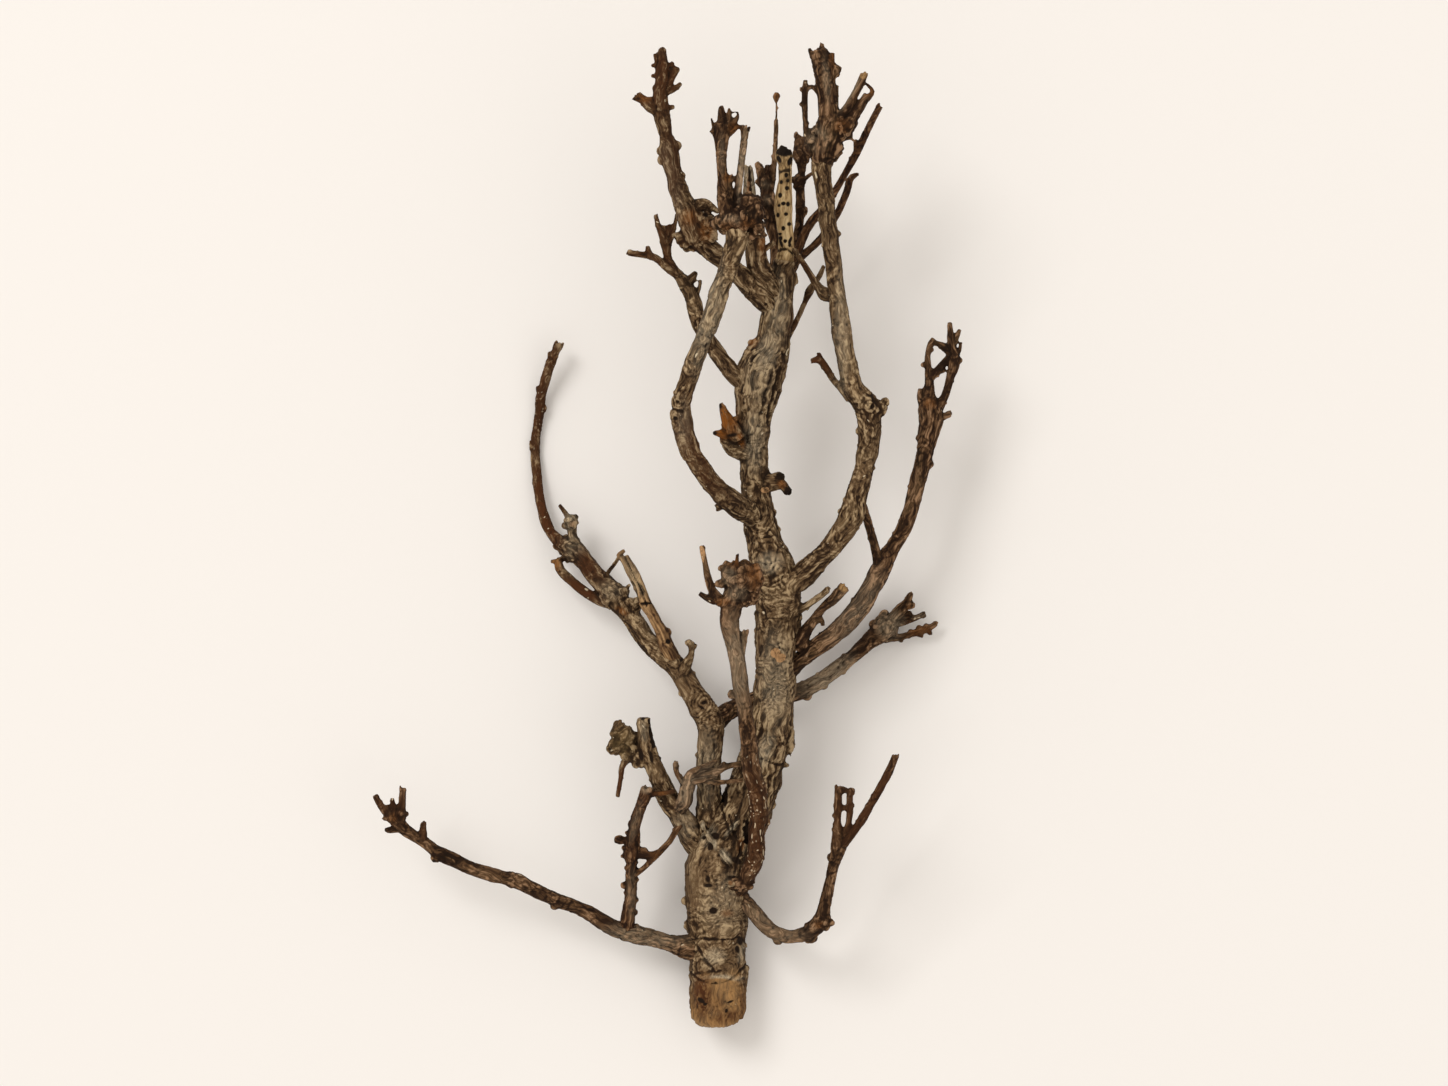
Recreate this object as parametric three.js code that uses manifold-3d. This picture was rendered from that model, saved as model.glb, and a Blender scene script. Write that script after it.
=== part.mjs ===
// A piece of driftwood lying on its back: a sawn trunk that forks into bent, broken branches.
// Millimetres. +Y runs along the trunk from the sawn end to the tips, +X to its right, +Z up.

import * as THREE from 'three';
import { mergeVertices } from 'three/addons/utils/BufferGeometryUtils.js';
import Module from 'manifold-3d';

const wasm = await Module();
wasm.setup();

// Driving dimensions
const eyeHeight = 1200;      // the plan below was read from straight above, from this height
const eyeX = 20.4;           // the point under the eye
const eyeY = -2.9;
const centreShiftX = -0.5626; // brings the middle of the finished piece over the origin
const centreShiftY = 4.1553;
const liftZ = -0.4664;       // brings its lowest point to the floor
const planScale = 1.0355;    // from the plan's millimetres to the real length of 355.6, 14 inches
const jointGap = 0.3;        // between a branch and what it grows from
const stepLength = 12;       // along a limb
const sawnEndY = -172.4;     // the sawn end, at the height of the trunk's middle
const sawnEndZ = 10.3;
const sawnLean = 25;         // degrees that the saw cut leans, its upper edge further out
const cutterSize = 60;

// Each limb is a row of points [x, y, z, radius], each knot [x, y, z, radius in x, y and z].
const greyBark = { color: 0x6b5b4a, roughness: 0.92 };
const brownBark = { color: 0x57422e, roughness: 0.9 };
const redBark = { color: 0x55331f, roughness: 0.85 };
const bareWood = { color: 0xb39a74, roughness: 0.88 };

const branches = {
  trunk: {
    finish: greyBark,
    limbs: [
      [[18.0, -183, 10.3, 10.2], [18.2, -170, 10.5, 10.3], [18.3, -160, 11.0, 10.2], [18.2, -151, 11.7, 10.2],
       [17.8, -140, 12.8, 10.8], [17.8, -130, 14.0, 11.1], [18.2, -121, 15.6, 11.8], [21.0, -112.5, 17.4, 11.8],
       [26.0, -104, 19.2, 10.6], [30.2, -94, 20.8, 9.4], [33.8, -82.5, 22.4, 8.7], [36.8, -71, 23.8, 7.9],
       [38.6, -60, 25.2, 7.5], [38.9, -49, 26.6, 7.3], [39.4, -38, 27.9, 7.6], [39.8, -28, 29.1, 8.3],
       [39.8, -19, 30.2, 8.7], [37.4, -10.5, 31.2, 8.2], [34.9, -3, 32.1, 6.7], [33.2, 5, 33.0, 6.0],
       [32.1, 14, 34.0, 5.6], [31.6, 24, 35.0, 5.4], [31.3, 34, 36.0, 5.3], [31.1, 43, 36.9, 6.8],
       [32.1, 51, 37.7, 8.4], [34.2, 60, 38.6, 8.5], [37.0, 68, 39.4, 7.1], [39.2, 76, 40.2, 5.7],
       [40.1, 84, 41.0, 5.3], [41.4, 93, 41.9, 4.6], [42.4, 99.5, 42.5, 3.9]],
      [[29, 30.5, 37, 4.4], [24.5, 31.6, 38.6, 3.6], [21.3, 33.2, 39.6, 2.4]],
      [[25.2, 35, 40, 2.8], [22, 41.5, 41.2, 2.2], [19.1, 47.8, 42, 0.8]],
      [[23, 35.5, 40, 2.2], [19.6, 36.6, 40.8, 1.7], [16.3, 37, 41.2, 0.9]],
      [[33.5, 18.8, 35, 4], [38.4, 19, 36.6, 3.2], [42.2, 18.2, 37.6, 1.7]],
      [[41.6, 18.6, 37.6, 1.3], [44.2, 15.6, 38, 1.6]],
      [[23.5, -123, 25, 3], [26, -113, 27.6, 2.6], [28, -102, 29.3, 2.2], [30.2, -90, 29.6, 1.7]],
      [[20.6, -111, 27.4, 1.6], [23.4, -107.2, 29.4, 1.3], [25.8, -103.6, 30.6, 0.7]],
      [[16.8, -111.4, 27, 1.4], [20, -115.6, 28.2, 1.4], [23.2, -119.2, 28, 1.0]],
      [[12.2, -103.6, 26, 1.4], [14.4, -108, 27.2, 1.4], [17, -111.6, 27.2, 1.0]],
      [[44.5, -28.8, 31, 1.9], [49, -26.3, 32, 1.5], [53.5, -23.4, 33, 1.3], [58.2, -19.8, 34, 1.3]],
      [[42, 70, 39.4, 1.8], [44.8, 74, 37.6, 1.2], [47.3, 79, 35.8, 1.0], [49.8, 84.6, 34.4, 1.0],
       [51.2, 88, 33.6, 1.6], [52.8, 90.6, 33, 1.2], [55, 93.8, 32.4, 1.1], [56.6, 97.6, 32, 0.9]],
    ],
    knots: [[6.9, -132.3, 15, 1.8, 1.4, 1.4], [30.6, 69.9, 40, 1.8, 1.6, 1.8],
            [40.2, 21.2, 36.8, 2.6, 2.0, 2.0], [47.6, -29.6, 30, 1.5, 1.6, 1.8],
            [46.4, 93, 42, 1.2, 2.6, 1.6], [44.6, -75, 25, 1.4, 6, 3]],
  },
  bare_stub: {
    finish: bareWood,
    limbs: [
      [[42, 97, 42.2, 3.6], [42.9, 103, 42.8, 3.1], [42.8, 108, 43.2, 2.8], [42.2, 113, 43.6, 3.0],
       [41.8, 118, 44, 3.4], [42, 123, 44.4, 3.0], [42.5, 128, 44.8, 2.5], [42.5, 133, 45.2, 2.5],
       [42.3, 137, 45.5, 2.4]],
      [[41.7, 135, 45.5, 2.3], [41.5, 138.6, 45.8, 2.1], [42.5, 141, 46, 1.1]],
    ],
    knots: [],
  },
  low_left_branch: {
    finish: brownBark,
    limbs: [
      [[13, -149, 13, 5.4], [8, -149.2, 13.6, 4.7], [4, -148.6, 14, 3.7], [0, -147.6, 14.6, 3.2],
       [-5, -146.3, 15.4, 3.2], [-10, -145, 16.2, 3.4], [-15, -143.6, 17, 3.5], [-20, -142, 17.6, 2.9],
       [-25, -139.1, 18.2, 2.8], [-30, -136.1, 18.8, 2.6], [-35, -134.1, 19.4, 2.6], [-40, -132.2, 20, 2.6],
       [-45, -130, 20.6, 2.5], [-50, -127.6, 21.3, 2.5], [-55, -125.1, 22, 2.8], [-60, -123.8, 22.7, 2.4],
       [-65, -122.5, 23.4, 2.5], [-70, -121, 24.2, 2.5], [-75, -118.9, 25, 2.6], [-80, -116.5, 26, 2.7],
       [-83.5, -114.8, 26.7, 2.4], [-87, -112, 27.5, 2.0], [-91, -109.3, 28.4, 1.9], [-95, -106.6, 29.3, 2.1],
       [-97.6, -103.8, 30, 2.8]],
      [[-96.6, -102, 30.6, 2.0], [-96.2, -97, 31.4, 1.5], [-95.9, -91.7, 32, 1.3]],
      [[-99, -101, 30.6, 1.5], [-99.8, -95.2, 31.4, 0.8]],
      [[-100, -102.5, 30.4, 1.8], [-103.4, -98.6, 31, 1.5], [-105.8, -94.7, 31.6, 1.1]],
      [[-96.5, -106, 29.6, 1.7], [-101.7, -107, 30.4, 1.1]],
      [[-88.8, -110, 28.3, 1.7], [-88.3, -104.2, 29.6, 1.2]],
    ],
    knots: [[-98.8, -101.6, 30.4, 4.2, 3.4, 2.8], [-56.6, -124.6, 22.3, 1.7, 3.2, 3.0],
            [-84, -117.1, 26.5, 2.0, 1.7, 1.9]],
  },
  left_branch: {
    finish: greyBark,
    limbs: [
      [[17.5, -124, 16, 5.4], [16.2, -116, 18.5, 5.1], [15.4, -108, 20.3, 4.8], [14.9, -98, 21.6, 4.7],
       [14.8, -88, 22.6, 4.6], [15.2, -78, 23.4, 4.6], [15.9, -69, 23.8, 5.2], [12.8, -62.8, 23.5, 4.8],
       [9.3, -57, 23, 4.1], [5.8, -51.3, 22.3, 4.0], [1.4, -46.2, 21.5, 4.1], [-3.6, -41.9, 20.4, 3.6],
       [-8.4, -37.2, 19, 3.4], [-12.2, -31.2, 17.5, 3.5], [-16, -26, 16, 3.8], [-20.5, -20.5, 14.5, 4.3],
       [-25, -15.8, 13, 3.7], [-30, -9.8, 11.5, 3.4], [-35.2, -4.6, 10, 3.9], [-39.4, -2.2, 8.8, 2.5],
       [-42.2, 0.8, 7.8, 1.9], [-44.2, 5, 6.8, 2.1], [-45.6, 10, 5.7, 1.8], [-46.6, 15, 4.7, 1.7],
       [-47.2, 20, 3.7, 1.7], [-47.6, 25, 2.8, 1.8], [-48, 30, 2.1, 1.8], [-47.8, 35, 2.1, 1.7],
       [-47.1, 40, 2.6, 1.6], [-46.4, 45, 3.4, 1.7], [-45.9, 50, 4.4, 1.9], [-44.5, 55, 5.6, 1.8],
       [-43, 60, 7, 1.7], [-42.1, 63, 7.8, 2.0]],
      [[-42, 62.6, 7.8, 1.8], [-40.7, 66, 8.6, 1.6], [-39.3, 69.3, 9.2, 1.9]],
      [[-42.3, 63, 8, 1.3], [-42.9, 66.4, 8.8, 0.8]],
      [[-33.6, -4.4, 11, 2.4], [-34.5, -0.5, 12, 1.8], [-34.8, 3.4, 13, 1.8]],
      [[-36, 6.2, 13.8, 1.1], [-37.6, 8.8, 14.4, 0.9], [-39.3, 11, 15, 0.8]],
      [[-18.5, -24.5, 14.4, 2.6], [-22.5, -24.2, 13.8, 2.1], [-27, -22.4, 13.1, 1.9], [-32, -19, 12.4, 1.8],
       [-36.3, -15.3, 11.8, 2.0], [-39.1, -12, 11.2, 1.9], [-39.8, -8.8, 11, 1.4]],
      [[-39.2, -9.4, 11.2, 1.2], [-42.4, -9.6, 11.4, 0.7]],
      [[-23, -16.4, 15, 1.1], [-21.2, -13, 17.6, 0.8], [-19.3, -10.6, 19.6, 0.8], [-17.6, -8, 21.6, 0.8],
       [-16, -6, 23, 0.7]],
      [[5.2, -50.8, 23.5, 2.8], [7.2, -46.2, 25.5, 1.9], [8.6, -43, 27, 1.2], [8.6, -39.6, 28, 1.3]],
      [[8.8, -42, 27.4, 0.9], [10.2, -39.5, 28.4, 0.9]],
    ],
    knots: [[-49.1, 32.8, 2.6, 1.4, 1.9, 1.5], [-20, -21, 15, 4.4, 4.7, 4.2],
            [-17, -21.6, 16, 3.2, 3.6, 3], [-12.6, -26.2, 17.6, 3.2, 3.2, 3],
            [-36.2, -4, 10.2, 4.2, 3.7, 3.8], [-34, -7.4, 11, 3.4, 3.2, 3.2],
            [-34.9, 4.9, 13.4, 2.6, 2.4, 2.4]],
  },
  split_twig: {
    finish: bareWood,
    limbs: [
      [[2.5, -45.5, 22.6, 2.7], [-0.4, -40, 24.4, 2.9], [-1.8, -36, 25.2, 2.6], [-3.8, -32, 25.9, 2.2],
       [-6, -28, 26.6, 2.2], [-8.2, -24.4, 27.2, 2.3], [-9.6, -20.5, 27.8, 2.1], [-11.6, -16, 28.5, 2.1],
       [-13.6, -12, 29.2, 2.2], [-15.9, -8, 30, 1.8]],
    ],
    knots: [[0.2, -35.3, 25, 1.5, 2, 1.5]],
  },
  left_stub_branch: {
    finish: greyBark,
    limbs: [
      [[13, -115, 16.5, 5], [9.5, -110, 19.5, 5], [6.5, -105, 22, 4.6], [3.2, -100, 24.5, 4.3],
       [0.2, -95, 26.6, 4.0], [-2.5, -90, 28.4, 3.8], [-4.4, -85, 30, 3.5], [-6.3, -80, 31.6, 3.3],
       [-7.8, -75, 33, 3.1], [-8.3, -70, 34, 2.7], [-8.6, -66.3, 34.6, 2.3]],
      [[-13.5, -79.8, 30.4, 1.8], [-16.3, -83.5, 30, 1.3], [-17, -88, 30, 1.0], [-18.2, -95, 30, 0.9]],
      [[-17.3, -70.5, 32, 1.3], [-17.3, -66.8, 32.5, 0.6]],
    ],
    knots: [[-15.6, -73.9, 31, 4.4, 5.0, 4.2], [-18.6, -76, 30.4, 3.3, 3.2, 3.2],
            [-13, -78, 31, 3.6, 3.2, 3.2], [-18, -71.3, 31, 2.6, 2.8, 2.4],
            [-10, -80.4, 31.4, 3.2, 3.0, 3.0]],
  },
  left_stub_twigs: {
    finish: brownBark,
    limbs: [
      [[4.2, -99.5, 27, 2.7], [6.2, -95.5, 30, 3.0], [7.3, -91, 32, 2.6], [9.2, -87, 33.5, 2.4],
       [12, -84.8, 34.5, 1.7], [15, -83.3, 35, 1.2], [17.9, -81.6, 35.5, 0.9]],
      [[9.5, -88.4, 33.8, 2.0], [13, -87.5, 34.5, 1.9], [17, -86, 35, 1.6], [20.8, -84, 35.5, 1.3],
       [26.5, -82.8, 36, 1.1]],
      [[17.5, -86, 35, 1.2], [20.8, -82.3, 36.3, 0.8]],
      [[12.5, -88.2, 34, 1.5], [17, -89.6, 34.5, 1.1], [22, -89.3, 35, 0.9], [27.4, -88.7, 35.5, 0.8]],
      [[6.6, -92, 32.4, 1.3], [4.6, -88.4, 33, 1.1], [3.2, -85.8, 33.4, 1.0], [2.9, -82.6, 33.8, 1.2]],
    ],
    knots: [],
  },
  low_left_twig: {
    finish: redBark,
    limbs: [
      [[-15, -143.6, 17, 2.6], [-14.3, -138.5, 18.8, 2.6], [-13.6, -133, 20.2, 2.3], [-13.2, -128, 21.4, 2.2],
       [-13.1, -123, 22.6, 2.4], [-13.0, -119.5, 23.8, 2.1], [-13.3, -115.5, 25, 3.0], [-12.6, -111, 26.4, 2.7],
       [-12, -106, 28, 2.0], [-11, -101.5, 29.6, 2.1], [-9.6, -98, 31, 2.1], [-8.3, -94.5, 32.4, 2.5],
       [-7.8, -91.6, 33.5, 2.0]],
      [[-14, -110.7, 26.4, 1.4], [-18.2, -110.3, 27, 1.4]],
      [[-12, -115.4, 25, 1.8], [-7, -116, 26, 1.5], [-3.2, -115.4, 26.7, 1.3]],
      [[-12.8, -123.8, 23, 1.2], [-9.8, -121.6, 25, 1.1], [-6, -118, 26.2, 1.1], [-2.6, -114.5, 26.9, 1.2],
       [0.6, -111, 27, 1.2], [3, -107.2, 26.8, 1.3], [5.2, -104.2, 25.4, 1.3]],
      [[-7.6, -94.2, 32.6, 1.4], [-4, -93.7, 32.9, 1.1], [-0.6, -93.3, 32.7, 1.0], [2.6, -92.6, 31.6, 0.9]],
    ],
    knots: [],
  },
  hook_branch: {
    finish: brownBark,
    limbs: [
      [[23.5, -129, 15, 4.0], [27.5, -132.4, 16.5, 3.4], [31, -136.4, 18, 2.9], [34.5, -140.4, 19.8, 2.7],
       [38, -143.6, 21.6, 2.6], [42, -145.2, 23.4, 2.5], [46, -145.3, 25, 2.4], [50, -144.3, 26.6, 2.8],
       [53.5, -142, 28, 2.9], [55.8, -139.3, 29.4, 2.7], [56.5, -135.5, 31, 1.9], [57.6, -130.5, 33, 1.8],
       [58.9, -125.5, 35, 1.8], [59.8, -120.5, 36.8, 1.8], [61, -116, 38.4, 2.4], [62, -112.5, 39.6, 2.8],
       [61.6, -108.5, 40.6, 2.0], [61.5, -103, 41.8, 1.4], [61.6, -98, 42.8, 1.6], [61.8, -92.6, 43.6, 1.3]],
      [[63.4, -111, 40.2, 1.8], [65.2, -105.5, 41.4, 1.3], [66, -99.5, 42.4, 1.2], [65.9, -94.5, 43.4, 1.2],
       [66.5, -92.4, 43.8, 1.2]],
      [[62.5, -112.5, 40, 2.2], [65.5, -109.6, 41, 1.9], [69, -105, 42.4, 1.6], [73, -98.6, 44, 1.6],
       [77, -91.6, 45.6, 1.6], [80, -86, 47, 1.6], [82.6, -79.8, 48.4, 1.5]],
    ],
    knots: [[39.8, -147, 22.2, 1.8, 1.6, 1.7], [51.7, -146, 26.8, 2.6, 2.0, 2.4],
            [50.7, -142.8, 27, 1.9, 2.3, 2.6], [56.3, -139.8, 30, 2.9, 2.7, 2.7],
            [63.4, -92.4, 43.7, 2.2, 1.4, 1.3]],
  },
  right_low_branch: {
    finish: brownBark,
    limbs: [
      [[17.2, -68.5, 21.5, 4.0], [20.5, -65, 18.5, 3.6], [24, -62.8, 15, 3.3], [29.5, -60.6, 12.4, 3.2],
       [36, -59, 11, 3.2], [43, -58, 10.6, 3.3], [48, -56.4, 10.6, 3.2], [53.4, -53.8, 10.6, 3.0],
       [59.5, -49.6, 10.2, 3.0], [66, -44.8, 9.2, 2.5], [71.5, -40, 7.6, 2.8], [75.5, -36.6, 6, 3.6],
       [79, -33.4, 5, 4.3]],
      [[81, -31, 5.8, 2.2], [84.5, -26.8, 8, 2.2], [86.5, -24.6, 9, 1.6], [87.9, -21.4, 10.5, 1.1]],
      [[81.5, -32, 5.6, 2.0], [87, -31, 7, 1.2], [92.8, -28.7, 8.5, 1.0]],
      [[78.5, -37.4, 4.6, 1.8], [83, -37.2, 4.6, 1.3], [88, -36, 5, 1.1], [93, -34.6, 5.6, 1.2],
       [96.8, -32.4, 6.2, 0.9]],
    ],
    knots: [[78.6, -33.5, 4.5, 4.7, 4.5, 4.5], [81.6, -31, 5.4, 2.9, 2.7, 2.9],
            [87.4, -25.2, 9, 2.4, 1.8, 1.5], [50.5, -58.4, 10.5, 1.8, 1.6, 1.8],
            [56.6, -54.6, 10.2, 1.7, 1.5, 1.8]],
  },
  front_branch: {
    finish: brownBark,
    limbs: [
      [[25.5, -128.5, 20, 3.4], [28.2, -124, 25, 3.3], [31, -119, 30, 3.3], [31.9, -114, 33.5, 3.2],
       [32.2, -108, 37, 3.3], [33.2, -103, 40, 3.5], [32.7, -96, 43.5, 3.6], [31.3, -88.7, 47, 3.5],
       [30, -81.5, 50, 3.4], [29.2, -74, 53, 3.1], [28.3, -67, 55.5, 2.9], [27.5, -60, 58, 2.9],
       [26.2, -53, 60.5, 3.0], [25.2, -45, 63, 3.2], [23.6, -38, 65, 3.1], [22.5, -31.5, 67, 3.4],
       [23.2, -26.5, 68.5, 3.9], [26, -19, 70, 5]],
      [[18.8, -24, 69, 2.2], [16.2, -20, 69, 1.7], [14.6, -15.5, 69.5, 1.5], [13.6, -10.5, 70, 1.1],
       [12.3, -3.8, 70.5, 1.0]],
      [[17, -24, 69, 1.6], [13.5, -22.4, 69, 1.2], [11.4, -21, 69, 1.0]],
      [[26.4, -45.5, 63.5, 1.4], [27.6, -39.5, 65, 1.1], [28.2, -34.8, 66, 1.1]],
      [[25, -11.5, 73, 1.2], [25.2, -7, 74, 0.6]],
    ],
    knots: [[26.8, -125.4, 24, 4.4, 3.8, 4], [26.5, -15.5, 71, 6.5, 6, 5.5],
            [22.5, -14.4, 71, 3.6, 4.6, 3.8], [30.8, -16.5, 71, 4, 5, 4], [27.5, -22.5, 70, 4.5, 3.8, 4],
            [19.2, -24, 69.2, 3.4, 1.8, 2.4], [23.4, -57.8, 58.3, 2.1, 1.8, 1.7],
            [19.4, -17.6, 70.3, 2.2, 1.6, 1.5]],
  },
  right_arc_branch: {
    finish: greyBark,
    limbs: [
      [[40, -21.5, 31, 4.2], [44, -18.5, 33, 4.6], [48.6, -14.8, 35, 4.5], [53.4, -10.2, 37, 4.2],
       [58.8, -4.6, 39, 4.0], [63.6, 1.6, 41, 4.3], [66.7, 8, 42.6, 4.7], [68.1, 13, 43.6, 4.0],
       [70, 19, 44.8, 3.6], [71.6, 26, 46, 3.7], [72.7, 33, 47, 3.9], [73, 39.5, 48, 4.4],
       [72.3, 45.5, 49, 4.9], [69.9, 49.5, 49.8, 4.4], [67.5, 53, 50.5, 4.0], [65.6, 59.5, 51.5, 3.7],
       [64, 66.5, 52.6, 3.6], [62.9, 74, 53.8, 3.5], [62.1, 81.5, 55, 3.5], [61.3, 89, 56.2, 3.2],
       [60.4, 96.5, 57.4, 3.1], [59.2, 104, 58.6, 3.2], [58.3, 111.5, 59.8, 3.2], [57.6, 118.5, 61, 3.1],
       [56.5, 126, 62.2, 3.3], [55.6, 132, 63.2, 3.5], [55.7, 137, 64, 3.8]],
      [[66, 49, 49.5, 1.7], [62.6, 53, 50.5, 1.2], [59.5, 57, 51.5, 1.1], [57, 61, 52.4, 1.1],
       [54.9, 63.5, 53, 0.9], [52.2, 63, 53.3, 0.7]],
      [[56.6, 61, 52.4, 1.1], [54.6, 66, 53.5, 0.6]],
      [[60, 86.5, 54, 2.6], [56.8, 87.4, 52, 2.4], [54.8, 89.4, 50.6, 1.7], [52, 93.6, 48.4, 1.3],
       [49.3, 98, 46.4, 1.2], [47, 101.4, 44.8, 1.2], [45.6, 103.4, 44, 1.1]],
    ],
    knots: [[75.8, 46.3, 49.5, 3.8, 2.8, 3.4]],
  },
  right_top_branch: {
    finish: brownBark,
    limbs: [
      [[55.7, 134.5, 63.6, 3.8], [57.2, 141, 64.6, 4.8], [58.3, 147, 65.4, 4.6], [58.2, 152.5, 66, 3.8],
       [57.8, 158, 66.6, 3.7], [57.2, 163.5, 67.2, 3.6], [56.7, 168.5, 67.8, 4.1], [55.4, 172.5, 68.2, 3.6],
       [54.7, 175.6, 68.6, 3.1]],
      [[59, 137.4, 64.8, 1.6], [61.2, 137.8, 65, 1.2], [63.2, 138.6, 65.2, 0.6]],
      [[59.2, 169, 68, 1.6], [59.6, 174.7, 68.6, 1.0]],
      [[61, 152, 66, 1.0], [61.2, 158.5, 66.5, 0.9], [61.5, 163, 67, 0.6]],
      [[55.5, 174, 68.6, 1.9], [55.9, 178, 69, 0.7]],
      [[52.4, 173, 68.4, 1.2], [51.2, 176.3, 68.6, 0.7]],
      [[51.4, 138, 63.6, 1.6], [50.4, 143, 64, 1.2], [50, 148, 64.6, 1.1], [49.7, 153, 65.2, 1.2],
       [49.6, 158, 65.8, 1.2], [49.7, 161.5, 66.2, 1.3], [49.9, 164.9, 66.6, 0.9]],
      [[50, 161, 66.2, 0.9], [52.1, 162.4, 66.6, 0.9], [55, 159.6, 66.8, 1.0]],
      [[61.5, 150.5, 66, 1.9], [64.6, 154.2, 66.8, 1.7], [67.2, 158.5, 67.6, 1.6], [69.3, 162.5, 68.2, 1.6],
       [71.2, 166.9, 68.8, 1.5]],
      [[65, 148.5, 66, 2.6], [67.8, 152.5, 66.6, 2.2], [70.2, 156, 67.2, 1.9], [72.4, 159.2, 67.6, 1.5]],
      [[72.2, 158, 67.6, 1.3], [74.2, 160.7, 68.2, 0.9], [71.9, 163.4, 68.4, 0.6]],
    ],
    knots: [[53.2, 141.4, 64, 3, 5, 3.4], [54.8, 145.6, 65, 3.2, 3.2, 3.2],
            [62.8, 147.5, 65.5, 4.8, 5.2, 4.4], [66, 149, 65.8, 3, 3, 2.8],
            [60.5, 141.5, 65, 3.3, 3.8, 3.4], [57.5, 138, 64.4, 3.2, 2.6, 3], [60.2, 168, 68, 2.9, 3.0, 2]],
  },
  right_outer_branch: {
    finish: brownBark,
    limbs: [
      [[43.5, -49.5, 26, 3.4], [47.5, -45.6, 26.3, 3.4], [52.3, -41.8, 27, 3.4], [58.8, -37, 28, 3.6],
       [65.3, -31, 29, 3.8], [70.4, -24.6, 29.7, 3.8], [74.4, -17.6, 30, 3.8], [78.2, -10.3, 30, 3.7],
       [81.4, -4.8, 30, 3.0], [84.4, 0.3, 30, 2.8], [87, 6, 30, 2.8], [89, 12.4, 30, 2.7],
       [90.7, 19.9, 30, 2.9], [92.5, 27.2, 30, 3.1], [93.9, 34.4, 30, 3.5], [95.3, 41, 30, 4.2],
       [95, 46, 30, 4.3], [94.6, 50.5, 30, 2.6], [94.7, 55, 30.2, 1.9], [94.4, 60, 30.6, 1.3],
       [94.2, 65, 31.2, 1.1], [95.2, 69.2, 31.8, 1.2], [96.3, 71.3, 32.2, 0.8]],
      [[94, 45, 30, 2.4], [91.8, 49.5, 30.3, 1.7], [91.5, 52.4, 30.6, 1.0]],
      [[97.4, 46, 30, 2.6], [100, 49.5, 30.2, 1.7], [101.3, 53, 30.5, 1.5], [102.3, 57, 31, 1.6],
       [103.6, 61, 31.6, 2.0], [103.8, 64.5, 32, 2.2], [103, 68, 32.6, 1.8], [102.6, 71.5, 33.2, 1.5],
       [102.1, 76, 34, 1.0]],
      [[103.4, 69, 32.8, 1.4], [104.6, 71.5, 33.2, 1.1], [105.8, 74.5, 33.8, 0.8]],
      [[104.4, 64.6, 32.2, 1.3], [105.8, 67.5, 32.6, 0.8], [106.2, 70, 33, 0.6]],
      [[95.2, 69.6, 31.8, 1.0], [98, 69.2, 32, 1.1], [100, 68, 32.2, 1.7], [102.6, 66, 32.3, 1.8]],
      [[94.8, 56.6, 30.4, 1.7], [97.6, 59.3, 30.8, 1.7], [99.8, 62, 31.2, 1.5], [102.6, 64.6, 31.8, 1.7]],
      [[97.6, 42, 30, 1.8], [102.2, 43.9, 30.4, 1.2]],
      [[76.5, -11.5, 30.5, 2.2], [74.8, -3.6, 33, 1.6], [72.8, 3.6, 36, 1.6], [70.8, 10.4, 39, 1.5],
       [69.6, 13, 41, 1.4]],
      [[46.8, -41, 27.5, 3.0], [49.6, -35.5, 30, 2.4], [53.2, -30.4, 31.5, 1.8], [56, -26.6, 32.5, 1.7],
       [59, -24, 33.2, 2.1], [62, -21, 34, 2.1], [64.3, -18.6, 34.6, 2.2]],
      [[50, -34.6, 30.4, 1.8], [53.5, -31, 32.2, 1.6], [55.8, -30.6, 32.6, 1.0], [56.2, -33, 32.4, 0.8]],
    ],
    knots: [[95.3, 26, 30, 1.5, 2, 1.6], [99, 59.6, 31, 1.8, 1.3, 1.2], [48.2, -37, 29, 2.4, 3, 2.4]],
  },
  front_arc_branch: {
    finish: greyBark,
    limbs: [
      [[31, 7, 36, 4.4], [27, 9.6, 41, 4.3], [22.6, 12.4, 46, 4.1], [18.4, 16.2, 50, 3.8],
       [14.8, 20.2, 53.5, 3.7], [11.8, 24.2, 56.5, 3.7], [9, 29, 59.5, 3.7], [6.8, 34.5, 62.5, 3.8],
       [5.4, 40, 65, 3.8], [4.9, 45, 67.2, 3.7], [5.5, 50, 69.2, 3.7], [7.4, 56, 71.2, 3.2],
       [9, 61, 72.6, 3.3], [11, 66.5, 74, 3.2], [13, 71.5, 75.2, 3.2], [15, 76.5, 76.2, 3.3],
       [16.8, 81.5, 77, 3.5], [18.4, 87, 77.8, 3.9], [20.4, 92.5, 78.4, 3.5], [22.2, 97.5, 79, 3.7],
       [23.6, 102, 79.4, 3.9], [25.2, 106.8, 79.8, 4.3], [25.6, 110.4, 80, 4.6]],
    ],
    knots: [[3.4, 48.8, 69, 2.3, 2.1, 2.3], [2.9, 43.5, 67, 2.1, 2.6, 2.3]],
  },
  front_top_branch: {
    finish: brownBark,
    limbs: [
      [[23, 113.5, 80, 3.6], [21, 119, 80.2, 3.2], [20.2, 124, 80.5, 2.5], [20, 129, 80.8, 2.1],
       [19.6, 134, 81.2, 2.0], [19.4, 139.5, 81.5, 2.3], [19.4, 144, 81.8, 3.0], [19.8, 148.8, 82, 2.7]],
      [[19.6, 148, 82.2, 1.9], [19.5, 152.5, 82.4, 1.4], [19.4, 154.8, 82.6, 1.1]],
      [[21.6, 148, 82.2, 1.9], [22.3, 152, 82.4, 1.0], [22.3, 154.4, 82.6, 0.6]],
      [[22, 148.4, 82.2, 1.5], [24.6, 150, 82.4, 1.2], [25.5, 151.8, 82.5, 0.7]],
      [[17.6, 146, 82, 1.5], [16, 145.6, 82, 1.4]],
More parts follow.
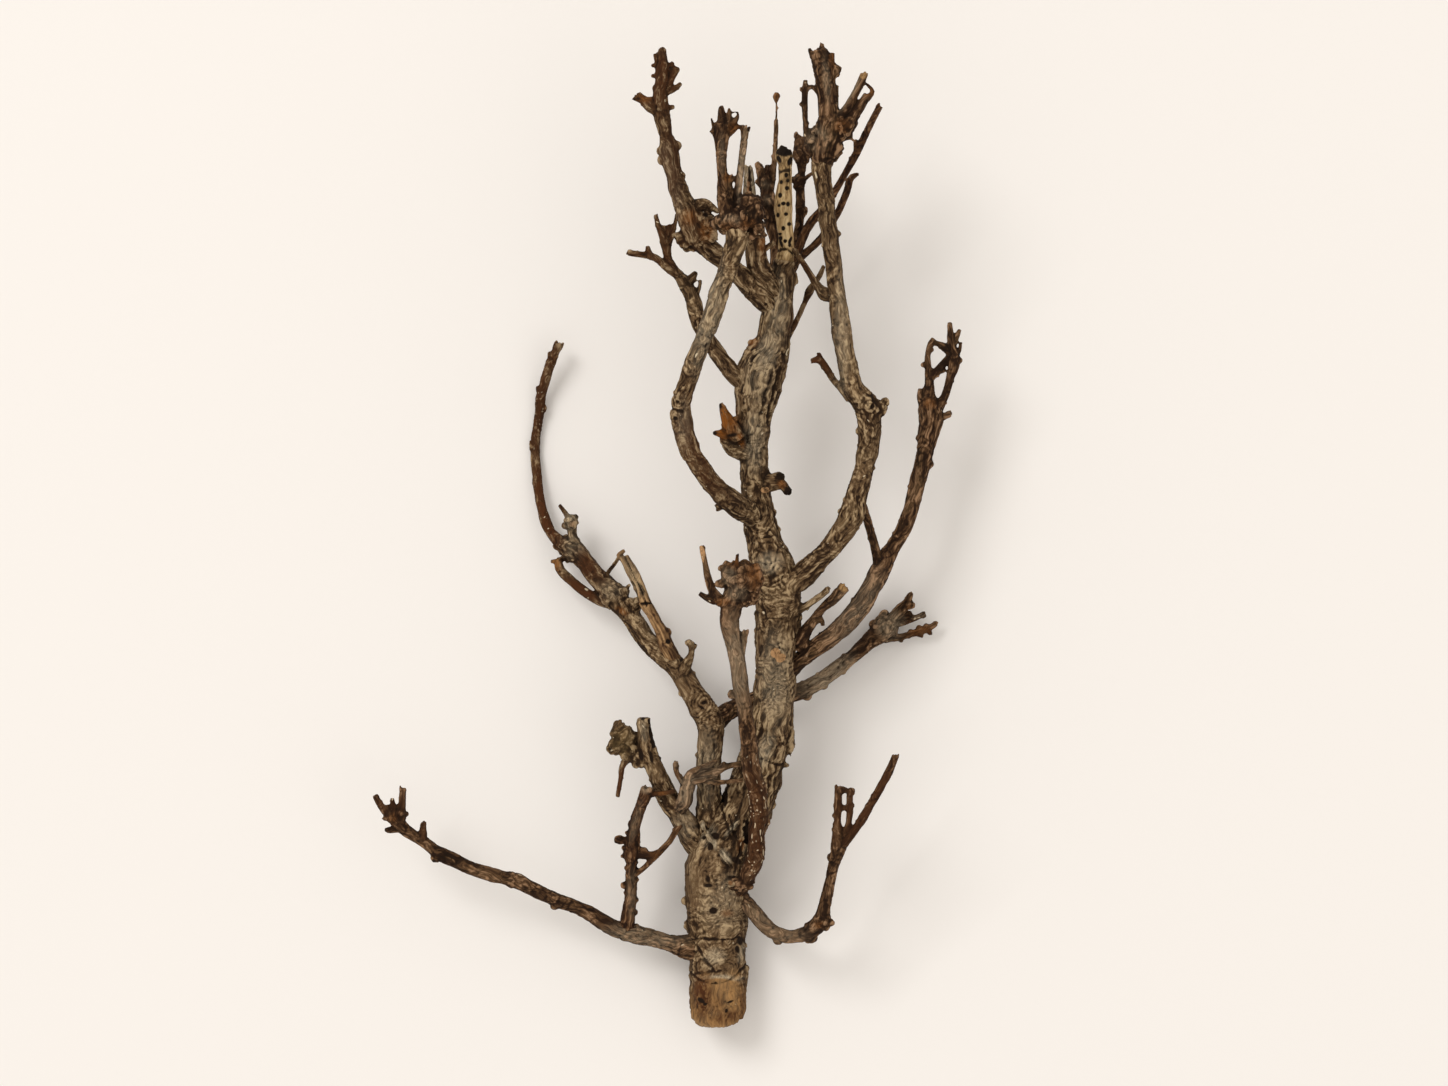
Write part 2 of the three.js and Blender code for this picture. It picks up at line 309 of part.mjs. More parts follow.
      [[20.8, 144.6, 82, 1.6], [23.6, 146.2, 82, 1.1], [25.6, 148, 82.1, 0.8], [28, 147.4, 82.1, 0.9]],
      [[25.4, 117, 80, 2.0], [25.5, 125, 80.4, 1.5], [26.2, 131, 80.8, 1.5], [26.9, 137, 81.2, 1.4],
       [27.7, 143, 81.6, 1.4], [28.1, 147.5, 82, 1.6]],
    ],
    knots: [[25.5, 113.8, 80, 5.8, 5.2, 5.2], [19.4, 112.8, 79.6, 3.8, 2.8, 3.2],
            [30.8, 115.8, 80, 4.2, 4.4, 4], [31.5, 119.8, 80.2, 2.9, 2.7, 2.7],
            [27.5, 119.8, 80, 3.4, 3.6, 3.2], [32.4, 110.6, 79.6, 2.6, 3, 2.6]],
  },
  inner_branch: {
    finish: greyBark,
    limbs: [
      [[39, 87, 42.5, 3.6], [35.6, 92, 45.5, 4.4], [32.8, 97.5, 48.4, 4.1], [31.4, 103, 50.8, 3.6],
       [30.6, 109.5, 52.8, 3.1], [29.9, 116, 54.2, 2.8], [29.6, 122, 55.2, 2.4], [29.5, 128, 56, 2.2],
       [29.3, 133.2, 56.5, 1.5]],
      [[32.5, 101.6, 51.4, 1.9], [35, 103.4, 51.2, 1.1], [38.6, 106, 50.6, 1.0]],
    ],
    knots: [[33.4, 106, 53, 1.9, 4.5, 1.9], [33.4, 111.6, 54, 1.9, 2.4, 1.6]],
  },
  upper_left_branch: {
    finish: greyBark,
    limbs: [
      [[37, 84, 42, 4.4], [31.8, 88.6, 46, 4.4], [27, 93, 48.6, 3.9], [23.2, 96.5, 51, 3.6],
       [19.2, 100, 53.4, 3.5], [15, 103.6, 56, 4.0], [11.3, 107.6, 58.4, 4.8], [9, 112.5, 60.2, 5.0],
       [7, 117.5, 61.6, 4.2], [5, 122, 62.8, 3.8], [3.4, 126.5, 63.8, 3.4], [2.2, 131, 64.8, 3.1],
       [1.2, 136, 65.8, 3.3], [0.3, 140.5, 66.6, 3.2], [-0.6, 144.5, 67.2, 2.4], [-1.5, 149, 67.8, 2.9],
       [-2.6, 154, 68.2, 3.1], [-2.6, 159.5, 68.6, 2.7], [-2, 164.5, 69, 2.6], [-2, 169.5, 69.3, 2.4],
       [-2, 173, 69.5, 1.9], [-1.9, 176.2, 69.7, 1.5]],
      [[10, 108.5, 58.8, 3], [5.5, 108, 59, 2.4], [2.8, 107.4, 59.2, 2.1]],
      [[10, 118.8, 61.4, 3], [13.5, 120, 61.8, 2.0], [16.5, 118.2, 61.6, 1.4], [18.7, 116.8, 61.4, 0.7]],
      [[-2.6, 153.5, 68.2, 2.6], [-6, 155.2, 68.4, 2.6], [-9, 157.6, 68.7, 1.8], [-11, 159.6, 69, 1.4]],
      [[-8.5, 156.6, 68.5, 1.0], [-13, 158.1, 68.6, 0.5]],
      [[-0.5, 161.5, 68.8, 1.8], [1.6, 165.6, 69, 1.3], [2.9, 168.5, 69.2, 1.7], [4.4, 168.6, 69.3, 0.9]],
      [[0, 169, 69.3, 1.5], [2.2, 171.2, 69.3, 0.8]],
      [[1.4, 168.4, 69.2, 1.4], [-1, 169.4, 69.3, 1.4]],
      [[-1, 160.4, 68.7, 1.5], [2.5, 161.6, 68.8, 1.2], [4.9, 163.6, 69, 0.7]],
      [[-1, 154.4, 68.2, 1.2], [2.5, 155.1, 68.3, 0.8]],
      [[-3.2, 169.6, 69.3, 1.3], [-4.7, 174.4, 69.6, 0.8]],
    ],
    knots: [[13.2, 113, 60, 4, 5.4, 4], [9.2, 106, 58, 4, 2.3, 3.2], [15.2, 109.5, 59.5, 2.8, 3.2, 3],
            [-1.6, 135.6, 65.8, 2.0, 2.1, 1.4]],
  },
  thin_left_branch: {
    finish: greyBark,
    limbs: [
      [[30, 52, 38, 3.2], [24.8, 57.2, 40.4, 3.2], [20.2, 62.6, 42, 3.0], [16.3, 68.2, 43.2, 2.9],
       [13.3, 73, 44, 2.8], [11, 78, 44.7, 2.9], [9.6, 83.2, 45.2, 3.0], [7.8, 88, 45.6, 2.8],
       [5.4, 92.4, 46, 2.4], [2.6, 96, 46.3, 1.8], [0.3, 100, 46.5, 1.5], [-0.6, 104.5, 46.7, 1.9],
       [-1.8, 108, 46.9, 1.5], [-3.2, 111.5, 47, 1.1], [-4.4, 116, 47.2, 0.9]],
      [[4.6, 93.6, 46.2, 2.1], [-0.5, 97.2, 46.8, 1.6], [-4.5, 100.3, 47.3, 1.4], [-9, 101.4, 47.8, 1.2],
       [-14.2, 102.1, 48.2, 1.1]],
      [[-6.6, 100.8, 47.5, 1.7], [-7.3, 104.7, 48, 0.8]],
      [[-1.4, 107.6, 46.8, 0.9], [-1.4, 112.3, 47, 0.6]],
      [[0.2, 107, 46.8, 0.9], [0.3, 112.4, 47, 0.6]],
      [[0.6, 105.6, 46.8, 1.2], [2.3, 111, 47.2, 0.9], [3.4, 116.4, 47.5, 0.8]],
      [[6.4, 89.8, 45.8, 2.4], [8.8, 93, 46, 1.6], [10.4, 95.3, 46.2, 0.9]],
      [[9, 85, 45.4, 1.4], [11.2, 88.6, 45.7, 0.8], [11.9, 92.4, 46, 0.7]],
    ],
    knots: [[-0.2, 106, 46.8, 2.1, 2.4, 1.6]],
  },
  dark_upright_left: {
    finish: brownBark,
    limbs: [
      [[40.4, 88, 38.5, 2.6], [39, 95, 34.4, 2.2], [38.6, 101, 32.2, 1.8], [38.5, 107, 31, 1.8],
       [37.2, 112.5, 30.6, 2.4], [36.4, 118, 30.4, 2.6], [36, 123, 30.4, 2.8], [35.6, 128, 30.6, 2.4]],
      [[35, 126.6, 30.8, 2.0], [33.6, 131, 31.2, 1.5], [32.6, 134.3, 31.6, 1.1]],
      [[36, 127.5, 30.8, 1.7], [36.2, 134, 31.6, 0.9]],
      [[36.8, 124, 30.6, 1.9], [38.2, 131, 31, 1.2], [38.8, 137, 31.4, 1.0], [39.1, 143, 31.8, 0.9],
       [39.3, 150.2, 32.2, 0.9]],
      [[39.3, 149, 32.2, 0.5], [39.4, 157.5, 32.6, 0.4]],
    ],
    knots: [[39.5, 158.2, 32.8, 1.1, 1.9, 1.0]],
  },
  dark_upright_right: {
    finish: brownBark,
    limbs: [
      [[43, 94, 39, 2.4], [45.6, 98.4, 35.4, 2.3], [46.8, 103, 33, 1.8], [46.9, 108, 31.6, 1.6],
       [47.6, 113, 31, 1.7], [48, 119, 30.8, 1.8], [47.9, 125, 30.8, 1.7], [48.4, 130.5, 31, 1.5],
       [48.3, 135.5, 31.2, 2.0], [47.4, 140, 31.4, 1.9], [46.8, 145, 31.6, 1.0]],
      [[48.4, 137.4, 31.4, 1.5], [49, 144.3, 31.8, 0.8]],
      [[45.6, 125.4, 32, 0.9], [48, 127.3, 32.4, 1.2], [50.3, 129.5, 33, 0.9], [52.6, 131.2, 33.2, 0.7]],
    ],
    knots: [[49.5, 117.3, 31, 1.5, 2.1, 1.4]],
  },
  back_twig_upper: {
    finish: redBark,
    limbs: [
      [[46.2, 100.4, 34.6, 2.0], [47.9, 105, 35, 1.8], [49.7, 109.4, 35.4, 1.7], [52, 113.4, 35.8, 1.7],
       [55, 116.8, 36.4, 1.7], [58.8, 121.8, 37.2, 1.5], [62.4, 127.6, 38, 1.4], [65.6, 133.2, 38.6, 1.4],
       [68.6, 138.6, 39.2, 1.5], [71.6, 145, 39.8, 1.4], [74.2, 150.4, 40.4, 1.3], [76.9, 155.4, 41, 1.3]],
    ],
    knots: [[68.3, 141.3, 39.6, 1.4, 2.2, 1.3]],
  },
  back_twig_lower: {
    finish: redBark,
    limbs: [
      [[46.4, 99.2, 33, 1.9], [48.7, 101.2, 31.4, 1.7], [51.4, 103.3, 30.8, 1.5], [54.5, 106.3, 30.8, 1.5],
       [58, 110.8, 31, 1.4], [61, 115.6, 31.2, 1.4], [63.2, 120.4, 31.4, 1.4], [65, 125, 31.6, 1.5],
       [65.8, 128.6, 31.8, 1.4]],
      [[65, 127.6, 32, 1.4], [67, 129.8, 32.2, 1.2], [69.2, 130.8, 32.4, 0.6]],
    ],
    knots: [],
  },
};

// The plan is as the eye saw it, so what stands nearer to the eye is drawn in towards the point below it.
function fromPlan([x, y, z, ...sizes]) {
  const nearness = 1 - z / eyeHeight;
  return {
    centre: new THREE.Vector3(
      (eyeX + (x - eyeX) * nearness) * planScale + centreShiftX,
      (eyeY + (y - eyeY) * nearness) * planScale + centreShiftY,
      z * planScale + liftZ,
    ),
    sizes: sizes.map((size) => size * nearness * planScale),
  };
}

function toSolid(geometry) {
  geometry.deleteAttribute('normal');
  geometry.deleteAttribute('uv');
  const merged = mergeVertices(geometry);
  return new wasm.Manifold(new wasm.Mesh({
    numProp: 3,
    vertProperties: new Float32Array(merged.attributes.position.array),
    triVerts: new Uint32Array(merged.index.array),
  }));
}

function sidesFor(radius) {
  if (radius > 6.5) return 10;
  if (radius > 3.2) return 6;
  return radius > 1.7 ? 5 : 4;
}

// A closed cylinder bent along the points, its radius following theirs.
function limb(points, grow) {
  const stations = points.map(fromPlan);
  const path = new THREE.CatmullRomCurve3(stations.map((station) => station.centre), false, 'centripetal');
  const steps = Math.max(1, Math.round(path.getLength() / stepLength));
  const radiusAt = (share) => {
    const place = share * (stations.length - 1);
    const before = Math.min(Math.floor(place), stations.length - 2);
    return THREE.MathUtils.lerp(stations[before].sizes[0], stations[before + 1].sizes[0], place - before) + grow;
  };
  const widest = Math.max(...stations.map((station) => station.sizes[0]));
  const geometry = new THREE.CylinderGeometry(1, 1, 1, sidesFor(widest), steps);
  const vertices = geometry.attributes.position;
  const up = new THREE.Vector3(0, 0, 1);
  for (let i = 0; i < vertices.count; i++) {
    const share = path.getUtoTmapping(vertices.getY(i) + 0.5);
    const along = path.getTangent(share);
    const side = along.clone().cross(up).normalize();
    const over = side.clone().cross(along);
    const point = path.getPoint(share)
      .addScaledVector(side, vertices.getX(i) * radiusAt(share))
      .addScaledVector(over, vertices.getZ(i) * radiusAt(share));
    vertices.setXYZ(i, point.x, point.y, point.z);
  }
  return toSolid(geometry);
}

function knot(place, grow) {
  const { centre, sizes } = fromPlan(place);
  const detail = Math.max(...sizes) > 5.2 ? 1 : 0;
  const geometry = new THREE.IcosahedronGeometry(1, detail);
  geometry.scale(...sizes.map((size) => size + grow));
  geometry.translate(centre.x, centre.y, centre.z);
  return toSolid(geometry);
}

function branchSolid(branch, grow) {
  const [first, ...others] = [
    ...branch.limbs.map((points) => limb(points, grow)),
    ...branch.knots.map((place) => knot(place, grow)),
  ];
  return others.reduce((whole, piece) => whole.add(piece), first);
}

// The saw's cut: everything past a leaning plane across the trunk is taken off.
function sawnOff() {
  const geometry = new THREE.BoxGeometry(cutterSize, cutterSize, cutterSize);
  geometry.translate(0, -cutterSize / 2, 0);
  geometry.rotateX(THREE.MathUtils.degToRad(sawnLean));
  const { centre } = fromPlan([18, sawnEndY, sawnEndZ]);
  geometry.translate(centre.x, centre.y, centre.z);
  return toSolid(geometry);
}

function toMesh(name, solid, finish) {
  const { vertProperties, triVerts } = solid.getMesh();
  const geometry = new THREE.BufferGeometry();
  geometry.setAttribute('position', new THREE.BufferAttribute(vertProperties, 3));
  geometry.setIndex(new THREE.BufferAttribute(triVerts, 1));
  geometry.computeVertexNormals();
  const mesh = new THREE.Mesh(geometry, new THREE.MeshStandardMaterial({ ...finish, metalness: 0 }));
  mesh.name = name;
  return mesh;
}

function boxOf(solid) {
  const { min, max } = solid.boundingBox();
  return new THREE.Box3(new THREE.Vector3(...min), new THREE.Vector3(...max));
}

const driftwood = new THREE.Group();
driftwood.name = 'driftwood';
const grownSoFar = [];

for (const [name, branch] of Object.entries(branches)) {
  let solid = branchSolid(branch, 0);
  if (name === 'trunk') solid = solid.subtract(sawnOff());
  const box = boxOf(solid);
  for (const earlier of grownSoFar) {
    if (box.intersectsBox(earlier.box)) solid = solid.subtract(earlier.solid);
  }
  const grown = branchSolid(branch, jointGap);
  grownSoFar.push({ solid: grown, box: boxOf(grown) });
  driftwood.add(toMesh(name, solid, branch.finish));
}

export default driftwood;
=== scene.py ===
import bmesh
import bpy
import numpy as np
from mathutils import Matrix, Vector


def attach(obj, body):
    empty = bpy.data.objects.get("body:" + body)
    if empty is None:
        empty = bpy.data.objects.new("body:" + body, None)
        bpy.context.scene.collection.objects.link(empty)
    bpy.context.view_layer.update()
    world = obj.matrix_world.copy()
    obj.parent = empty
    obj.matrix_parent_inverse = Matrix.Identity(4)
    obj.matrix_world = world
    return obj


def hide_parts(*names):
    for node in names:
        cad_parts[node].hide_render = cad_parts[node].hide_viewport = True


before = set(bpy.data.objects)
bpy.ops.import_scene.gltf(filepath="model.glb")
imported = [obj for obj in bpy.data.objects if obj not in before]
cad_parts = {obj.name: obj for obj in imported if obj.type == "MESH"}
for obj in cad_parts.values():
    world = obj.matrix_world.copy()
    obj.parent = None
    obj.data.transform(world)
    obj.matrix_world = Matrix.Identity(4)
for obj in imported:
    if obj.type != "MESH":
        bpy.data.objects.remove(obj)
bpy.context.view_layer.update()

mm = 0.001

plan = {  # the tables are as seen from straight above, so what stands higher is drawn in towards the eye
    "eyeHeight": 1200,
    "eye": [20.4, -2.9],
    "scale": 1.0355,
    "shift": [-0.5626, 4.1553],
    "lift": -0.4664,
}

camera = {"lens": 82.4, "sensor": 36}

surface = {
    "voxel": 0.42,  # of the thin limbs, in millimetres
    "trunkVoxel": 0.5,
    "smoothing": 2,
    "fineKnot": 1.6,  # a knot with a larger radius gets more sides
    "crumb": 100,  # a loose part with fewer points than this is dropped
    "cavitySteps": 12,
    # painted shade added on every limb, more on thin ones
    "roundness": 0.55,
    "floorClearance": 0.02,
}

# Small bumps that are only in the looks, scattered by a fixed seed
bumps = {
    "seed": 14,
    "smallestBurr": 2.2,  # knots thinner than this get none
    "perBurr": 1.1,
    "burrSize": [0.8, 1.9],
    "spikes": 0.25,  # share of the bumps that are pointed
    "budSpacing": [2.5, 7],
    "budSize": [0.35, 0.7],
    "tatters": [2, 1.5],  # splinters at a broken end, and how many more for each millimetre of radius
    "smoothEnds": ["trunk", "right_arc_branch", "front_arc_branch", "left_stub_branch"],
}

sawCut = {"y": -172.4, "z": 10.3, "lean": 25}

# Each limb is a row of points [x, y, z, radius], each knot [x, y, z, radius in x, y and z].
branches = {
    "trunk": {
        "bark": "greyBark",
        "limbs": [
            [[18.0, -183, 10.3, 10.2], [18.2, -170, 10.5, 10.3], [18.3, -160, 11.0, 10.2],
             [18.2, -151, 11.7, 10.2],
             [17.8, -140, 12.8, 10.8], [17.8, -130, 14.0, 11.1], [18.2, -121, 15.6, 11.8],
             [21.0, -112.5, 17.4, 11.8],
             [26.0, -104, 19.2, 10.6], [30.2, -94, 20.8, 9.4], [33.8, -82.5, 22.4, 8.7],
             [36.8, -71, 23.8, 7.9],
             [38.6, -60, 25.2, 7.5], [38.9, -49, 26.6, 7.3], [39.4, -38, 27.9, 7.6], [39.8, -28, 29.1, 8.3],
             [39.8, -19, 30.2, 8.7], [37.4, -10.5, 31.2, 8.2], [34.9, -3, 32.1, 6.7], [33.2, 5, 33.0, 6.0],
             [32.1, 14, 34.0, 5.6], [31.6, 24, 35.0, 5.4], [31.3, 34, 36.0, 5.3], [31.1, 43, 36.9, 6.8],
             [32.1, 51, 37.7, 8.4], [34.2, 60, 38.6, 8.5], [37.0, 68, 39.4, 7.1], [39.2, 76, 40.2, 5.7],
             [40.1, 84, 41.0, 5.3], [41.4, 93, 41.9, 4.6], [42.4, 99.5, 42.5, 3.9]],
            [[29, 30.5, 37, 4.4], [24.5, 31.6, 38.6, 3.6], [21.3, 33.2, 39.6, 2.4]],
            [[25.4, 34.6, 40, 3.3], [22.8, 39.4, 41, 2.9], [20.8, 43.6, 41.6, 1.9], [19.1, 47.8, 42, 0.8]],
            [[23.4, 40.4, 41, 2.0], [25.2, 42.8, 41, 0.8]],
            [[21.4, 38, 40.8, 1.9], [19.8, 40.4, 41.2, 0.7]],
            [[23, 35.5, 40, 2.2], [19.6, 36.6, 40.8, 1.7], [16.3, 37, 41.2, 0.9]],
            [[33.5, 18.8, 35, 4], [38.4, 19, 36.6, 3.2], [42.2, 18.2, 37.6, 1.7]],
            [[41.6, 18.6, 37.6, 1.7], [43.9, 15.4, 38, 1.9]],
            [[23.5, -123, 25, 3], [26, -113, 27.6, 2.6], [28, -102, 29.3, 2.2], [30.2, -90, 29.6, 1.7]],
            [[20.6, -109.4, 28.4, 1.3], [23.4, -106.4, 30, 1.1], [25.6, -103.6, 30.8, 0.6]],
            [[18.4, -113.2, 28, 1.1], [20.6, -116, 28.6, 1.2], [22.8, -119, 28, 0.9]],
            [[12.2, -103.6, 25.6, 1.2], [13.4, -106.6, 26.8, 1.1]],
            [[14.4, -108.2, 26.8, 1.0], [15.4, -110.4, 27.2, 1.1]],
            [[16.6, -110.6, 27.2, 0.9], [16.9, -113.4, 27.4, 0.8]],
            [[45.6, -30.4, 30, 1.1], [48.4, -31.6, 30.4, 0.3]],
            [[45.4, -33.2, 29, 1.0], [47.4, -34.8, 29.4, 0.3]],
            [[46.4, -24.6, 30.5, 1.0], [48.6, -22.6, 31, 0.3]],
            [[33.2, -33.4, 28, 1.0], [31, -34.6, 28, 0.3]],
            [[32.6, -27.4, 29, 1.0], [31, -28.8, 29, 0.4]],
            [[46.2, -38.6, 27, 1.2], [47.8, -40.6, 27, 0.4]],
            [[44.5, -28.8, 31, 1.9], [49, -26.3, 32, 1.5], [53.5, -23.4, 33, 1.3], [58.2, -19.8, 34, 1.3]],
            [[42, 70, 39.4, 1.8], [44.8, 74, 37.6, 1.2], [47.3, 79, 35.8, 1.0], [49.8, 84.6, 34.4, 1.0],
             [51.2, 88, 33.6, 1.6], [52.8, 90.6, 33, 1.2], [55, 93.8, 32.4, 1.1], [56.6, 97.6, 32, 0.9]],
        ],
        "knots": [[6.9, -132.3, 15, 1.8, 1.4, 1.4], [28, -156.4, 12, 1.6, 1.4, 1.4],
            [30.6, 69.9, 40, 1.8, 1.6, 1.8],
            [43, -83.2, 24, 1.5, 1.4, 1.4], [28, -148.6, 15, 1.5, 1.6, 2], [6.8, -141, 13.4, 1.2, 1.5, 1.4],
            [23, -126, 26, 2.2, 1.8, 1.6], [21.4, 34.2, 40, 2.6, 1.9, 1.8],
            [40.2, 21.2, 36.8, 2.6, 2.0, 2.0], [38.6, 8, 34, 1.2, 1.4, 1.2],
            [47.6, -29.6, 30, 1.5, 1.6, 1.8],
            [46.4, 93, 42, 1.2, 2.6, 1.6], [44.6, -75, 25, 1.4, 6, 3]],
    },
    "bare_stub": {
        "bark": "bareWood",
        "limbs": [
            [[42, 97, 42.2, 3.6], [42.9, 103, 42.8, 3.1], [42.8, 108, 43.2, 2.8], [42.2, 113, 43.6, 3.0],
             [41.8, 118, 44, 3.4], [42, 123, 44.4, 3.0], [42.5, 128, 44.8, 2.5], [42.5, 133, 45.2, 2.5],
             [42.3, 137, 45.5, 2.4]],
            [[41.7, 135, 45.5, 2.3], [41.4, 138.6, 45.8, 2.3], [42.2, 141, 46, 1.4]],
            [[44, 134, 45.2, 1.3], [44.4, 137.6, 45.4, 1.1], [43.8, 139.6, 45.6, 0.9]],
            [[40, 136, 45.4, 1.2], [39.8, 139.4, 45.6, 0.8]],
        ],
        "knots": [],
    },
    "low_left_branch": {
        "bark": "brownBark",
        "limbs": [
            [[13, -149, 13, 5.4], [8, -149.2, 13.6, 4.7], [4, -148.6, 14, 3.7], [0, -147.6, 14.6, 3.2],
             [-5, -146.3, 15.4, 3.2], [-10, -145, 16.2, 3.4], [-15, -143.6, 17, 3.5],
             [-20, -142, 17.6, 2.9],
             [-25, -139.1, 18.2, 2.8], [-30, -136.1, 18.8, 2.6], [-35, -134.1, 19.4, 2.6],
             [-40, -132.2, 20, 2.6],
             [-45, -130, 20.6, 2.5], [-50, -127.6, 21.3, 2.5], [-55, -125.1, 22, 2.8],
             [-60, -123.8, 22.7, 2.4],
             [-65, -122.5, 23.4, 2.5], [-70, -121, 24.2, 2.5], [-75, -118.9, 25, 2.6],
             [-80, -116.5, 26, 2.7],
             [-83.5, -114.8, 26.7, 2.4], [-87, -112, 27.5, 2.0], [-91, -109.3, 28.4, 1.9],
             [-95, -106.6, 29.3, 2.1],
             [-97.6, -103.8, 30, 2.8]],
            [[-96.6, -102, 30.6, 2.0], [-96.2, -97, 31.4, 1.5], [-95.9, -91.7, 32, 1.3]],
            [[-99, -101, 30.6, 1.5], [-99.8, -95.2, 31.4, 0.8]],
            [[-100, -102.5, 30.4, 1.8], [-103.4, -98.6, 31, 1.5], [-105.8, -94.7, 31.6, 1.1]],
            [[-96.5, -106, 29.6, 1.7], [-101.7, -107, 30.4, 1.1]],
            [[-88.8, -110, 28.3, 1.7], [-88.3, -104.2, 29.6, 1.2]],
        ],
        "knots": [[-98.8, -101.6, 30.4, 4.2, 3.4, 2.8], [-56.6, -124.6, 22.3, 1.7, 3.2, 3.0],
            [-41, -134.5, 20, 1.7, 1.3, 1.6], [-84, -117.1, 26.5, 2.0, 1.7, 1.9]],
    },
    "left_branch": {
        "bark": "greyBark",
        "limbs": [
            [[17.5, -124, 16, 5.4], [16.2, -116, 18.5, 5.1], [15.4, -108, 20.3, 4.8],
             [14.9, -98, 21.6, 4.7],
             [14.8, -88, 22.6, 4.6], [15.2, -78, 23.4, 4.6], [15.9, -69, 23.8, 5.2],
             [12.8, -62.8, 23.5, 4.8],
             [9.3, -57, 23, 4.1], [5.8, -51.3, 22.3, 4.0], [1.4, -46.2, 21.5, 4.1],
             [-3.6, -41.9, 20.4, 3.6],
             [-8.4, -37.2, 19, 3.4], [-12.2, -31.2, 17.5, 3.5], [-16, -26, 16, 3.8],
             [-20.5, -20.5, 14.5, 4.3],
             [-25, -15.8, 13, 3.7], [-30, -9.8, 11.5, 3.4], [-35.2, -4.6, 10, 3.9], [-39.4, -2.2, 8.8, 2.5],
             [-42.2, 0.8, 7.8, 1.9], [-44.2, 5, 6.8, 2.1], [-45.6, 10, 5.7, 1.8], [-46.6, 15, 4.7, 1.7],
             [-47.2, 20, 3.7, 1.7], [-47.6, 25, 2.8, 1.8], [-48, 30, 2.1, 1.8], [-47.8, 35, 2.1, 1.7],
             [-47.1, 40, 2.6, 1.6], [-46.4, 45, 3.4, 1.7], [-45.9, 50, 4.4, 1.9], [-44.5, 55, 5.6, 1.8],
             [-43, 60, 7, 1.7], [-42.1, 63, 7.8, 2.0]],
            [[-42, 62.6, 7.8, 1.8], [-40.7, 66, 8.6, 1.6], [-39.3, 69.3, 9.2, 1.9]],
            [[-42.3, 63, 8, 1.3], [-42.9, 66.4, 8.8, 0.8]],
            [[-33.6, -4.4, 11, 2.4], [-34.5, -0.5, 12, 1.8], [-34.8, 3.4, 13, 1.8]],
            [[-36, 6.2, 13.8, 1.1], [-37.6, 8.8, 14.4, 0.9], [-39.3, 11, 15, 0.8]],
            [[-18.5, -24.5, 14.4, 2.6], [-22.5, -24.2, 13.8, 2.1], [-27, -22.4, 13.1, 1.9],
             [-32, -19, 12.4, 1.8],
             [-36.3, -15.3, 11.8, 2.0], [-39.1, -12, 11.2, 1.9], [-39.8, -8.8, 11, 1.4]],
            [[-39.2, -9.4, 11.2, 1.2], [-42.4, -9.6, 11.4, 0.7]],
            [[-23, -16.4, 15, 1.1], [-21.2, -13, 17.6, 0.8], [-19.3, -10.6, 19.6, 0.8],
             [-17.6, -8, 21.6, 0.8],
             [-16, -6, 23, 0.7]],
            [[5.2, -50.8, 23.5, 2.8], [7.2, -46.2, 25.5, 1.9], [8.6, -43, 27, 1.2], [8.6, -39.6, 28, 1.3]],
            [[8.8, -42, 27.4, 0.9], [10.2, -39.5, 28.4, 0.9]],
        ],
        "knots": [[-49.1, 32.8, 2.6, 1.4, 1.9, 1.5], [-44.8, 45.9, 3.6, 1.1, 1.7, 1.1],
            [-47.1, 52.8, 5, 0.9, 1.5, 1],
            [-20, -21, 15, 4.4, 4.7, 4.2], [-17, -21.6, 16, 3.2, 3.6, 3], [-12.6, -26.2, 17.6, 3.2, 3.2, 3],
            [-36.2, -4, 10.2, 4.2, 3.7, 3.8], [-34, -7.4, 11, 3.4, 3.2, 3.2],
            [-34.9, 4.9, 13.4, 2.6, 2.4, 2.4],
            [7.7, -39, 28.4, 1.6, 1.4, 1.3], [-10.7, -24.2, 18, 1.1, 1.1, 1.1],
            [4.9, -57.3, 23, 1, 1.1, 1]],
    },
    "split_twig": {
        "bark": "peeledWood",
        "limbs": [
            [[2.5, -45.5, 22.6, 2.7], [-0.4, -40, 24.4, 2.9], [-1.8, -36, 25.2, 2.6],
             [-3.8, -32, 25.9, 2.2],
             [-6, -28, 26.6, 2.2], [-8.2, -24.4, 27.2, 2.3], [-9.6, -20.5, 27.8, 2.1],
             [-11.6, -16, 28.5, 2.1],
             [-13.6, -12, 29.2, 2.2], [-15.9, -8, 30, 1.8]],
            [[-16.4, -8.4, 30, 1.2], [-17.8, -7.4, 30, 0.9], [-15.6, -5.6, 30.4, 0.7]],
        ],
        "knots": [[0.2, -35.3, 25, 1.5, 2, 1.5]],
    },
    "left_stub_branch": {
        "bark": "greyBark",
        "limbs": [
            [[13, -115, 16.5, 5], [9.5, -110, 19.5, 5], [6.5, -105, 22, 4.6], [3.2, -100, 24.5, 4.3],
             [0.2, -95, 26.6, 4.0], [-2.5, -90, 28.4, 3.8], [-4.4, -85, 30, 3.5], [-6.3, -80, 31.6, 3.3],
             [-7.8, -75, 33, 3.1], [-8.3, -70, 34, 2.7], [-8.6, -66.3, 34.6, 2.3]],
            [[-13.5, -79.8, 30.4, 1.8], [-16.3, -83.5, 30, 1.3], [-17, -88, 30, 1.0],
             [-18.2, -95, 30, 0.9]],
            [[-17.3, -70.5, 32, 1.3], [-17.3, -66.8, 32.5, 0.6]],
        ],
        "knots": [[-15.6, -73.9, 31, 4.4, 5.0, 4.2], [-18.6, -76, 30.4, 3.3, 3.2, 3.2],
            [-13, -78, 31, 3.6, 3.2, 3.2],
            [-18, -71.3, 31, 2.6, 2.8, 2.4], [-10, -80.4, 31.4, 3.2, 3.0, 3.0], [-2.8, -80.7, 31, 1, 1, 1]],
    },
    "left_stub_twigs": {
        "bark": "brownBark",
        "limbs": [
